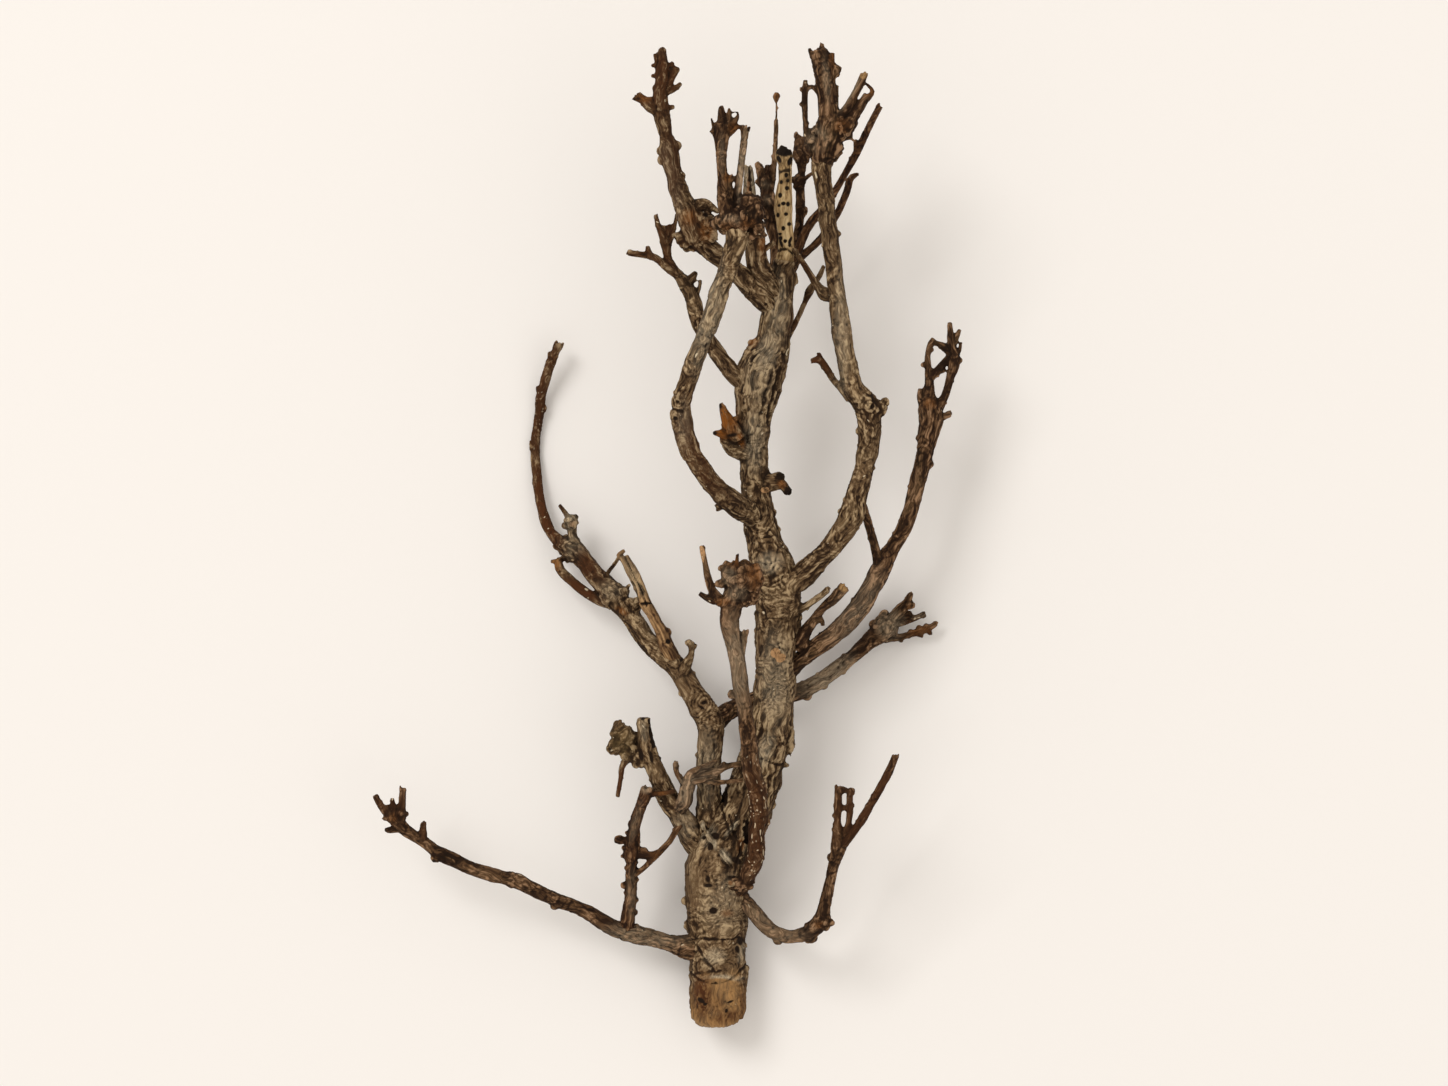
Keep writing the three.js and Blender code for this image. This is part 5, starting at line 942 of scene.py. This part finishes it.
def growBumps(branch, dice):
    balls, lines = [], []
    for ball in branch["balls"]:
        reach = ball[3:6]
        if reach.min() < bumps["smallestBurr"]:
            continue
        for _ in range(round(reach.sum() * bumps["perBurr"])):
            turn, tilt = dice.uniform(0, 2 * np.pi), dice.uniform(-0.4, 1)
            level = np.sqrt(1 - tilt ** 2)
            out = np.array([np.cos(turn) * level, np.sin(turn) * level, tilt])
            place = ball[:3] + out * reach * 0.93
            size = dice.uniform(*bumps["burrSize"])
            if dice.random() < bumps["spikes"]:
                tip = place + (out + dice.uniform(-0.5, 0.5, 3)) * size * 0.95
                lines.append(np.array([[*(place - out), 0.9], [*place, 0.8], [*tip, 0.4]]))
            else:
                balls.append(np.array([*place, size, size * dice.uniform(0.7, 1.2), size * 0.8]))
    for line in branch["lines"]:
        along, side, over, lengths = lineFrames(line)
        at = dice.uniform(1, 5)
        while at < lengths[-1]:
            row = int(np.searchsorted(lengths, at))
            turn = dice.uniform(0, 2 * np.pi)
            radius = line[row, 3]
            out = side[row] * np.cos(turn) + over[row] * np.sin(turn)
            size = dice.uniform(*bumps["budSize"]) * (0.7 + radius / 5)
            place = line[row, :3] + out * radius * 0.92
            balls.append(np.array([*place, size, size, size]))
            at += dice.uniform(*bumps["budSpacing"])
    fewest, perRadius = bumps["tatters"]
    for line in branch["lines"][branch["wholeEnds"]:]:
        radius = line[-1, 3]
        if radius < 1:
            continue
        along, side, over, lengths = lineFrames(line)
        for _ in range(round(fewest + radius * perRadius)):
            turn, share = dice.uniform(0, 2 * np.pi), dice.uniform(0.3, 0.8)
            out = (side[-1] * np.cos(turn) + over[-1] * np.sin(turn)) * radius * share
            foot = line[-1, :3] + out - along[-1]
            tip = line[-1, :3] + out * 1.2 + along[-1] * dice.uniform(0.1, 1.1)
            lines.append(np.array([[*foot, 0.7], [*((foot + tip) / 2), 0.6], [*tip, 0.38]]))
    return balls, lines


def cavityOf(mesh, points, normals):  # how far each point lies below its even surroundings
    edges = np.empty(len(mesh.edges) * 2, np.int32)
    mesh.edges.foreach_get("vertices", edges)
    first, second = edges[0::2], edges[1::2]
    count = np.bincount(edges, minlength=len(points))
    even = points.copy()
    for _ in range(surface["cavitySteps"]):
        for axis in range(3):
            values = even[:, axis]
            total = (np.bincount(first, values[second], len(points))
                     + np.bincount(second, values[first], len(points)))
            even[:, axis] = total / count
    return np.einsum("ij,ij->i", even - points, normals)


def nearestLimb(points, lines):
    spine = np.vstack(lines)
    frames = [lineFrames(line) for line in lines]
    along, side, over = (np.vstack([f[k] for f in frames]) for k in range(3))
    lengths = np.concatenate([f[3] for f in frames])
    limb = np.concatenate([np.full(len(line), i) for i, line in enumerate(lines)])
    pick = np.empty(len(points), int)
    for start in range(0, len(points), 4000):
        block = points[start:start + 4000]
        away = np.linalg.norm(block[:, None] - spine[None, :, :3], axis=2) - spine[None, :, 3]
        pick[start:start + 4000] = np.argmin(away, axis=1)
    offset = points - spine[pick, :3]
    forward = np.einsum("ij,ij->i", offset, along[pick])
    across = np.einsum("ij,ij->i", offset, side[pick])
    upward = np.einsum("ij,ij->i", offset, over[pick])
    apart = limb[pick]  # each limb reads its own part of the noise
    grain = np.column_stack([across + apart * 23.7, upward, lengths[pick] + forward + apart * 51.3])
    return grain, spine[pick, 3]


def dropCrumbs(mesh):  # fusing can leave a loose cell beside a limb
    work = bmesh.new()
    work.from_mesh(mesh)
    work.verts.ensure_lookup_table()
    unseen = set(range(len(work.verts)))
    crumbs = []
    while unseen:
        waiting = [unseen.pop()]
        part = []
        while waiting:
            vertex = work.verts[waiting.pop()]
            part.append(vertex)
            for edge in vertex.link_edges:
                other = edge.other_vert(vertex).index
                if other in unseen:
                    unseen.remove(other)
                    waiting.append(other)
        if len(part) < surface["crumb"]:
            crumbs += part
    if crumbs:
        bmesh.ops.delete(work, geom=crumbs, context="VERTS")
        work.to_mesh(mesh)
    work.free()


def shellObject(name, lines, knots, voxel):
    points, faces, count = [], [], 0
    shells = [tubeShell(line, max(8, round(line[:, 3].max() * 4))) for line in lines]
    shells += [knotShell(knot) if knot[3] > surface["fineKnot"] else knotShell(knot, 4, 8) for knot in knots]
    for shellPoints, shellFaces in shells:
        points.append(shellPoints)
        faces += [[index + count for index in face] for face in shellFaces]
        count += len(shellPoints)
    points = np.vstack(points)
    if name == "trunk":
        cut = fromPlan([[18, sawCut["y"], sawCut["z"], 1]])[0]
        edge = cut[1] - np.tan(np.radians(sawCut["lean"])) * (points[:, 2] - cut[2])
        points[:, 1] = np.maximum(points[:, 1], edge)
    mesh = bpy.data.meshes.new(name + "_shell")
    mesh.from_pydata((points * mm).tolist(), [], faces)
    shell = bpy.data.objects.new(name + "_shell", mesh)
    bpy.context.collection.objects.link(shell)
    remesh = shell.modifiers.new("fuse", "REMESH")
    remesh.mode = "VOXEL"
    remesh.voxel_size = voxel * mm
    smooth = shell.modifiers.new("soften", "SMOOTH")
    smooth.factor = 0.5
    smooth.iterations = surface["smoothing"]
    fused = bpy.data.meshes.new_from_object(shell.evaluated_get(bpy.context.evaluated_depsgraph_get()))
    bpy.data.objects.remove(shell)
    bpy.data.meshes.remove(mesh)
    fused.name = name + "_wood"
    dropCrumbs(fused)
    made = bpy.data.objects.new(name + "_wood", fused)
    bpy.context.collection.objects.link(made)
    return made


def writeValues(mesh, name, values):
    kind = "FLOAT" if values.ndim == 1 else "FLOAT_VECTOR"
    field = mesh.attributes.new(name, kind, "POINT")
    field.data.foreach_set("value" if values.ndim == 1 else "vector", values.astype(np.float32).ravel())


# Noise in the surface: how often it repeats in a millimetre, across, across and along the grain, seed, layers
patterns = {
    "lumps": [[0.17, 0.17, 0.17], 1, 2],
    "ribs": [[0.55, 0.55, 0.07], 5, 2],
    "fibres": [[1.1, 1.1, 0.2], 9, 2],
    "crossFibres": [[0.3, 0.3, 1.2], 11, 2],
    "splits": [[0.6, 0.6, 0.11], 13, 2],
    "pits": [[0.42, 0.42, 0.42], 21, 3],
}


def pattern(points, name):
    often, seed, layers = patterns[name]
    return layeredNoise(points * often, seed, layers)


def driftOf(points, axis):  # a slow sideways wander of the grain
    return latticeNoise(points * 0.15, 40 + axis) * 1.8 + latticeNoise(points * 0.4, 44 + axis) * 0.7


def carve(made, name, branch):
    mesh = made.data
    points = np.empty(len(mesh.vertices) * 3)
    mesh.vertices.foreach_get("co", points)
    points = points.reshape(-1, 3) / mm
    normals = np.empty(len(mesh.vertices) * 3, np.float32)
    mesh.vertex_normals.foreach_get("vector", normals)
    normals = normals.reshape(-1, 3).astype(float)
    grain, radius = nearestLimb(points, branch["lines"])
    silk = branch["look"]["silkFrom"]
    grain[:, 2] = np.minimum(grain[:, 2], silk) + np.maximum(grain[:, 2] - silk, 0) * 0.45
    flat = toPlan(points)
    onTop = np.clip(normals[:, 2] * 2.5 + 0.6, 0, 1)

    burr = np.zeros(len(points))
    for knot in branch["balls"]:
        if knot[3:6].max() > 1.9:
            away = np.linalg.norm((points - knot[:3]) / knot[3:6], axis=1)
            burr = np.maximum(burr, np.clip(2.2 - 1.6 * away, 0, 1))
    size = np.clip(radius / 5, 0.2, 1.3)
    look = branch["look"]
    masks = {}
    for kind in ("bare", "pale", "dark", "black", "orange", "red", "olive", "tan", "dotted", "cross", "calm"):
        masks[kind] = np.zeros(len(points))
        for mark in marks.get(name, {}).get(kind, []):
            masks[kind] = np.maximum(masks[kind], blob(flat, mark))
        if kind not in ("red", "bare", "cross", "calm"):
            masks[kind] *= onTop
    cross = masks["cross"]
    drift = np.column_stack([driftOf(points, axis) for axis in range(3)])
    flow = grain + drift * look["sway"]
    lumps = pattern(points, "lumps") * look["lumps"] * size
    ribs = pattern(flow, "ribs")
    fibres = pattern(flow, "fibres")
    split = np.clip(1 - np.abs(pattern(flow, "splits")) * 4, 0, 1) ** 2
    split *= np.clip(latticeNoise(points * 0.2, 15) * 1.6 + 0.5, 0, 1) * (1 - cross * 0.8)
    ribs *= 1 - cross * 0.6
    fibres = fibres * (1 - cross) + pattern(flow, "crossFibres") * cross
    wave = flow[:, 2] * 0.3 + latticeNoise(points * 0.12, 61) * 2.4 + latticeNoise(points * 0.3, 62) * 0.6
    curlPatch = np.clip(latticeNoise(points * 0.1, 64) * 1.5 + 0.5 + cross, 0, 1)
    curl = (1 - np.abs(np.sin(np.pi * wave))) ** 2 * curlPatch
    pits = pattern(points, "pits")
    holes = np.clip(latticeNoise(points * 0.62, 33) - 0.6, 0, 1) * 2.5
    height = (lumps + ribs * look["ribs"] * size + fibres * look["fibres"] * size ** 0.6
              - split * look["splits"] * size - curl * look["curls"] * size ** 0.7 - holes * 0.3 * size)
    height += burr * pits * look["burrs"]
    bare = np.clip(masks["bare"] * 2, 0, 1)
    # Partly the grain's own tone and partly painted light: grooves, splits and holes get painted shade,
    # ridges a painted highlight
    relief = (ribs * 0.25 + fibres * 0.45 - split * 0.8 - curl * 2 * look["curls"]
              + burr * pits * 0.6 - holes * 0.9)
    relief *= 1 - bare * 0.75
    relief *= 1 - masks["calm"] * 0.6
    height -= (height - lumps) * masks["calm"] * 0.6

    for line, halfWidth, depth, darkness in cracks.get(name, []):
        wander = latticeNoise(np.column_stack([flat * 0.8, flat[:, :1] * 0]), 31) * halfWidth
        gap = np.clip(1.5 - (lineDistance(flat, line) + wander) / halfWidth, 0, 1) * onTop
        height -= gap * depth
        relief -= gap * darkness
    for x, y, reach, space in swirls.get(name, []):
        away = np.hypot(flat[:, 0] + drift[:, 0] * 0.5 - x, (flat[:, 1] + drift[:, 1] * 0.5 - y) * 0.7)
        worn = np.clip(latticeNoise(points * 0.33, 71) * 1.4 + 0.5, 0, 1)
        patch = np.clip(1.3 - away / reach, 0, 1) * worn * onTop
        rings = np.sin(2 * np.pi * away / space + ribs * 1.2) * patch
        height += rings * 0.14
        relief += rings * 0.3
    height -= masks["black"] * 0.35
    moved = points + normals * height[:, None]
    moved[:, 2] = np.maximum(moved[:, 2], surface["floorClearance"])
    mesh.vertices.foreach_set("co", (moved * mm).ravel())
    mesh.shade_smooth()
    mesh.update()
    # Painted shade: the colour darkens with the depth of each hollow and a little on every limb, and lightens
    # on raised spots
    cavity = cavityOf(mesh, moved, normals) + surface["roundness"] / (radius + 0.5)
    cavity *= np.clip(radius / 2.2, 0.35, 1)  # thin twigs get less of this painted shade
    writeValues(mesh, "grain", flow)
    writeValues(mesh, "cavity", cavity)
    # painted shade: surfaces that face sideways, away from the light above, are darkened
    writeValues(mesh, "side", np.clip(1.1 - normals[:, 2] * 1.9, 0, 1))
    writeValues(mesh, "relief", relief)
    writeValues(mesh, "burr", burr)
    for kind, values in masks.items():
        writeValues(mesh, kind, values)
    return len(mesh.polygons)


class Socket:  # a shader value; + - * / and powers on it add Math nodes
    def __init__(self, shader, link):
        self.shader, self.link = shader, link

    def math(self, operation, first, second):
        return self.shader.add("ShaderNodeMath", {"operation": operation}, {0: first, 1: second})

    def __add__(self, other):
        return self.math("ADD", self, other)

    def __sub__(self, other):
        return self.math("SUBTRACT", self, other)

    def __mul__(self, other):
        return self.math("MULTIPLY", self, other)

    def __pow__(self, other):
        return self.math("POWER", self, other)

    def __rsub__(self, other):
        return self.math("SUBTRACT", other, self)

    __radd__ = __add__
    __rmul__ = __mul__


class Shader:
    def __init__(self, name):
        self.material = bpy.data.materials.new(name)
        self.material.use_nodes = True
        self.tree = self.material.node_tree
        self.principled = self.tree.nodes["Principled BSDF"]

    def add(self, kind, settings=None, inputs=None, output=0):
        node = self.tree.nodes.new(kind)
        for key, value in (settings or {}).items():
            if key == "stops":
                while len(node.color_ramp.elements) < len(value):
                    node.color_ramp.elements.new(0.5)
                for element, (place, color) in zip(node.color_ramp.elements, value):
                    element.position = place
                    element.color = color
            else:
                setattr(node, key, value)
        for key, value in (inputs or {}).items():
            if isinstance(value, Socket):
                self.tree.links.new(value.link, node.inputs[key])
            else:
                node.inputs[key].default_value = value
        return Socket(self, node.outputs[output])

    def feed(self, name, value):
        if isinstance(value, Socket):
            self.tree.links.new(value.link, self.principled.inputs[name])
        else:
            self.principled.inputs[name].default_value = value

    def field(self, name, vector=False):
        return self.add("ShaderNodeAttribute", {"attribute_name": name}, output="Vector" if vector else "Fac")

    def stretch(self, vector, x, y, z):
        return self.add("ShaderNodeVectorMath", {"operation": "MULTIPLY"}, {0: vector, 1: (x, y, z)})

    def noise(self, vector, scale, detail=4, roughness=0.55):
        return self.add("ShaderNodeTexNoise", {"noise_dimensions": "3D"},
                        {"Vector": vector, "Scale": scale, "Detail": detail, "Roughness": roughness})

    def between(self, value, low, high, first=0.0, last=1.0):
        return self.add("ShaderNodeMapRange", {"clamp": True},
                        {"Value": value, "From Min": low, "From Max": high, "To Min": first, "To Max": last})

    def veins(self, vector, x, y, z, thickness):  # thin winding lines, where a soft noise passes its middle
        level = self.noise(self.stretch(vector, x, y, z), 1.0, 1, 0.5) - 0.5
        away = self.add("ShaderNodeMath", {"operation": "ABSOLUTE"}, {0: level})
        return self.between(away, 0.0, thickness, 1.0, 0.0)

    def dots(self, vector, spacing, size, share):  # round dots in some of the cells of a random pattern
        inputs = {"Vector": vector, "Scale": 1 / spacing, "Randomness": 1.0}
        near = self.add("ShaderNodeTexVoronoi", {"feature": "F1"}, inputs, "Distance")
        cell = self.add("ShaderNodeTexVoronoi", {"feature": "F1"}, inputs, "Color")
        pick = self.add("ShaderNodeSeparateColor", {}, {"Color": cell}, "Red")
        radius = size / spacing
        return self.between(near, radius, radius * 0.6) * self.between(pick, share, share - 0.02)

    def blend(self, share, first, second):
        return self.add("ShaderNodeMix", {"data_type": "RGBA", "blend_type": "MIX"},
                        {0: share, 6: first, 7: second}, output=2)


def color(hexText):
    parts = [int(hexText[i:i + 2], 16) / 255 for i in (0, 2, 4)]
    return tuple(c / 12.92 if c <= 0.04045 else ((c + 0.055) / 1.055) ** 2.4 for c in parts) + (1.0,)


freshTan = "b98e62"  # the small scars where the bark has just come off
veinStrength = 0.4
dotKinds = {  # spacing and radius in millimetres
    "pinholes": [2.4, 0.4],
    "specks": [3.1, 0.42],
    "pores": [1.7, 0.44],
}

finishes = {
    "greyBark": {
        "dark": "2e1e0f", "middle": "6a5238", "light": "ae9470", "pale": "d4c2a2", "crack": "20140a",
        "accent": "874f1c", "bare": "a27a4c", "red": "4e2b13", "olive": "74603a", "moss": "655137",
        "specks": 0.16, "lumps": 0.5, "ribs": 0.26, "fibres": 0.16, "splits": 0.26, "curls": 0.26,
        "burrs": 0.6, "sway": [1, 1, 2.2], "silkFrom": 240,
    },
    "brownBark": {
        "dark": "29180b", "middle": "5a4029", "light": "977556", "pale": "cab494", "crack": "1c1006",
        "accent": "845328", "bare": "a98455", "red": "4a2a13", "olive": "74603a", "moss": "56442a",
        "specks": 0.2, "lumps": 0.5, "ribs": 0.22, "fibres": 0.15, "splits": 0.2, "curls": 0.3,
        "burrs": 0.7, "sway": [1, 1, 2], "silkFrom": 0,
    },
    "redBark": {
        "dark": "27150a", "middle": "523620", "light": "8c694a", "pale": "bfa888", "crack": "1c1006",
        "accent": "845328", "bare": "a98455", "red": "482710", "olive": "74603a", "moss": "4d3a24",
        "specks": 0.16, "lumps": 0.4, "ribs": 0.16, "fibres": 0.12, "splits": 0.16, "curls": 0.28,
        "burrs": 0.5, "sway": [1, 1, 2], "silkFrom": 0,
    },
    "bareWood": {
        "dark": "7c6240", "middle": "bd9c6d", "light": "dabd8d", "pale": "e2cda0", "crack": "1e150d",
        "accent": "9a6a3a", "bare": "b08d5c", "red": "7a5a3c", "olive": "6b5d38", "moss": "a08c64",
        "specks": 0.0, "lumps": 0.35, "ribs": 0.2, "fibres": 0.12, "splits": 0.12, "curls": 0.05,
        "burrs": 0.3, "sway": [0.6, 0.6, 1], "silkFrom": 0,
    },
    "peeledWood": {
        "dark": "3c2718", "middle": "80603f", "light": "b48e62", "pale": "d6b98e", "crack": "1b120b",
        "accent": "945a2a", "bare": "b08d5c", "red": "5a3d25", "olive": "6b5d38", "moss": "74603f",
        "specks": 0.12, "lumps": 0.4, "ribs": 0.3, "fibres": 0.15, "splits": 0.2, "curls": 0.1,
        "burrs": 0.4, "sway": [0.6, 0.6, 1], "silkFrom": 0,
    },
}


def woodMaterial(name, look):
    shader = Shader(name)
    grain = shader.field("grain", vector=True)
    relief = shader.field("relief")
    cavity = shader.field("cavity")
    bare = shader.between(shader.field("bare"), 0.15, 0.5)
    along = shader.noise(shader.stretch(grain, 0.62, 0.62, 0.14), 1.0, 3, 0.72)
    across = shader.noise(shader.stretch(grain, 0.22, 0.22, 0.9), 1.0, 3, 0.72)
    cross = shader.field("cross")
    fibre = along + (across - along) * cross
    streaky = shader.noise(shader.stretch(grain, 1.35, 1.35, 0.42), 1.0, 2, 0.6)
    lumpy = shader.noise(shader.stretch(grain, 1.2, 1.2, 1.1), 1.0, 2, 0.6)
    fine = streaky + (lumpy - streaky) * shader.between(shader.field("burr") + cross, 0.1, 0.6)
    blotch = shader.noise(shader.stretch(grain, 0.16, 0.16, 0.09), 1.0, 3, 0.5)
    # Besides the grain's own tone, this adds painted shade in grooves and hollows and painted light on ridges
    tone = fibre * 0.6 + fine * 0.55 + blotch * 0.35 + relief * 0.22 - cavity * 0.5 - 0.26
    long = shader.veins(grain, 0.55, 0.55, 0.1, 0.055) + shader.veins(grain, 0.9, 0.9, 0.22, 0.05) * 0.7
    curly = shader.veins(grain, 0.26, 0.26, 0.5, 0.05) + shader.veins(grain, 0.5, 0.5, 0.9, 0.045) * 0.7
    vein = long + (curly - long) * cross
    calm = shader.field("calm")
    tone = tone + (0.5 - tone) * calm * 0.5
    wood = shader.blend(shader.between(tone, 0.33, 0.465), color(look["dark"]), color(look["middle"]))
    wood = shader.blend(shader.between(blotch, 0.5, 0.7) * 0.5, wood, color(look["moss"]))
    wood = shader.blend(shader.between(tone, 0.49, 0.64), wood, color(look["light"]))
    # Pale marks are worn pale bark, and on the front branch a painted sheen of light
    worn = shader.field("pale") * shader.between(fine, 0.3, 0.65, 0.3, 1.0)
    wood = shader.blend(worn, wood, color(look["pale"]))
    bareStreaks = shader.between(fibre * 0.7 + fine * 0.3, 0.38, 0.56)
    bareTone = shader.blend(bareStreaks, color(look["middle"]), color(look["bare"]))
    wood = shader.blend(bare, wood, bareTone)
    redness = shader.field("red") * shader.between(tone, 0.46, 0.66, 1.0, 0.5)
    wood = shader.blend(redness, wood, color(look["red"]))
    scars = shader.field("orange") * shader.between(fine, 0.3, 0.55, 0.3, 1.0)
    wood = shader.blend(scars, wood, color(look["accent"]))
    wood = shader.blend(shader.field("olive") * 0.6, wood, color(look["olive"]))
    wood = shader.blend(shader.between(shader.field("tan") + fine * 0.6, 0.62, 0.72), wood, color(freshTan))
    veined = vein * veinStrength * (1.0 - bare * 0.6) * (1.0 - calm)
    wood = shader.blend(veined, wood, color(look["dark"]))
    shade = shader.field("burr") * 0.18 + shader.field("dark") * 0.7
    shade = shade * shader.between(tone, 0.35, 0.6, 1.0, 0.25)
    wood = shader.blend(shade, wood, color(look["dark"]))
    # painted shade on the sides that face away from the light above
    wood = shader.blend(shader.field("side") * 0.6, wood, color(look["dark"]))
    # painted shade in hollows and creases
    wood = shader.blend(shader.between(cavity, 0.12, 0.55) * 0.9, wood, color(look["crack"]))
    # dark colour in deep splits and cracks, partly painted shade
    wood = shader.blend(shader.between(relief, -0.4, -1.1) * 0.85, wood, color(look["crack"]))
    pinholes = shader.dots(grain, *dotKinds["pinholes"], 0.14) * (1.0 - bare * 0.8)
    wood = shader.blend(pinholes * 0.7, wood, color(look["crack"]))
    specks = shader.dots(grain, *dotKinds["specks"], look["specks"]) * 0.9
    wood = shader.blend(specks, wood, color(look["pale"]))
    pores = shader.dots(grain, *dotKinds["pores"], 0.85) * shader.field("dotted")
    wood = shader.blend(pores, wood, color(look["pale"]))
    burnt = shader.between(shader.field("black") + fine * 0.5, 0.4, 0.75)
    wood = shader.blend(burnt, wood, color(look["crack"]))
    shader.feed("Base Color", wood)
    shader.feed("Roughness", shader.between(fine, 0.2, 0.8, 0.72, 0.95))
    shader.feed("Specular IOR Level", 0.12)
    height = fibre * 0.6 + fine * 0.6 - vein * 0.25
    bump = {"Strength": 0.9, "Distance": 0.5 * mm, "Height": height}
    shader.feed("Normal", shader.add("ShaderNodeBump", {}, bump))
    return shader.material


materials = {name: woodMaterial(name, look) for name, look in finishes.items()}
print("materials ready")

dice = np.random.default_rng(bumps["seed"])
for name, branch in branches.items():
    branch["lines"] = [smoothLine(fromPlan(limb), 1.0) for limb in branch["limbs"]]
    branch["balls"] = [fromPlan([knot])[0] for knot in branch["knots"]]
    branch["look"] = finishes[branch["bark"]]
    branch["wholeEnds"] = 1 if name in bumps["smoothEnds"] else 0
    balls, lines = growBumps(branch, dice) if name != "bare_stub" else ([], [])
    voxel = surface["trunkVoxel"] if name == "trunk" else surface["voxel"]
    made = shellObject(name, branch["lines"] + lines, branch["balls"] + balls, voxel)
    faces = carve(made, name, branch)
    made.data.materials.clear()
    made.data.materials.append(materials[branch["bark"]])
    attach(made, "root")
    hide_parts(name)
    print(name, "has", faces, "faces")

studio = {
    "floorReach": 3.0,
    "floorColour": "f0ebe5",
    "air": (1.0, 0.96, 0.915, 1.0),
    "airStrength": 0.78,
    "key": {"place": (-2.6, 2.6, 4.0), "size": 2.2, "power": 122, "tint": (0.985, 0.99, 1.0)},
    "fill": {"place": (1.4, -0.9, 1.6), "size": 1.6, "power": 4, "tint": (0.97, 0.98, 1.0)},
}

floorMesh = bpy.data.meshes.new("floor")
reach = studio["floorReach"]
floorCorners = [(-reach, -reach, 0), (reach, -reach, 0), (reach, reach, 0), (-reach, reach, 0)]
floorMesh.from_pydata(floorCorners, [], [(0, 1, 2, 3)])
floor = bpy.data.objects.new("floor", floorMesh)
bpy.context.collection.objects.link(floor)
floorShader = Shader("floor")
floorShader.feed("Base Color", color(studio["floorColour"]))
floorShader.feed("Roughness", 0.9)
floorMesh.materials.append(floorShader.material)


def softLight(name, place, size, power, tint):
    data = bpy.data.lights.new(name, "AREA")
    data.size = size
    data.energy = power
    data.color = tint
    light = bpy.data.objects.new(name, data)
    bpy.context.collection.objects.link(light)
    light.location = place
    light.rotation_euler = (-Vector(place)).to_track_quat("-Z", "Y").to_euler()


softLight("key", **studio["key"])
softLight("fill", **studio["fill"])
world = bpy.data.worlds.new("studio")
world.use_nodes = True
world.node_tree.nodes["Background"].inputs["Color"].default_value = studio["air"]
world.node_tree.nodes["Background"].inputs["Strength"].default_value = studio["airStrength"]
bpy.context.scene.world = world
bpy.context.scene.view_settings.view_transform = "Standard"

eye = fromPlan([[*plan["eye"], 0, 1]])[0]
lens = bpy.data.cameras.new("camera")
lens.lens = camera["lens"]
lens.sensor_width = camera["sensor"]
view = bpy.data.objects.new("camera", lens)
bpy.context.collection.objects.link(view)
view.location = (eye[0] * mm, eye[1] * mm, (plan["eyeHeight"] * plan["scale"] + plan["lift"]) * mm)
bpy.context.scene.camera = view
print("camera and lights ready")
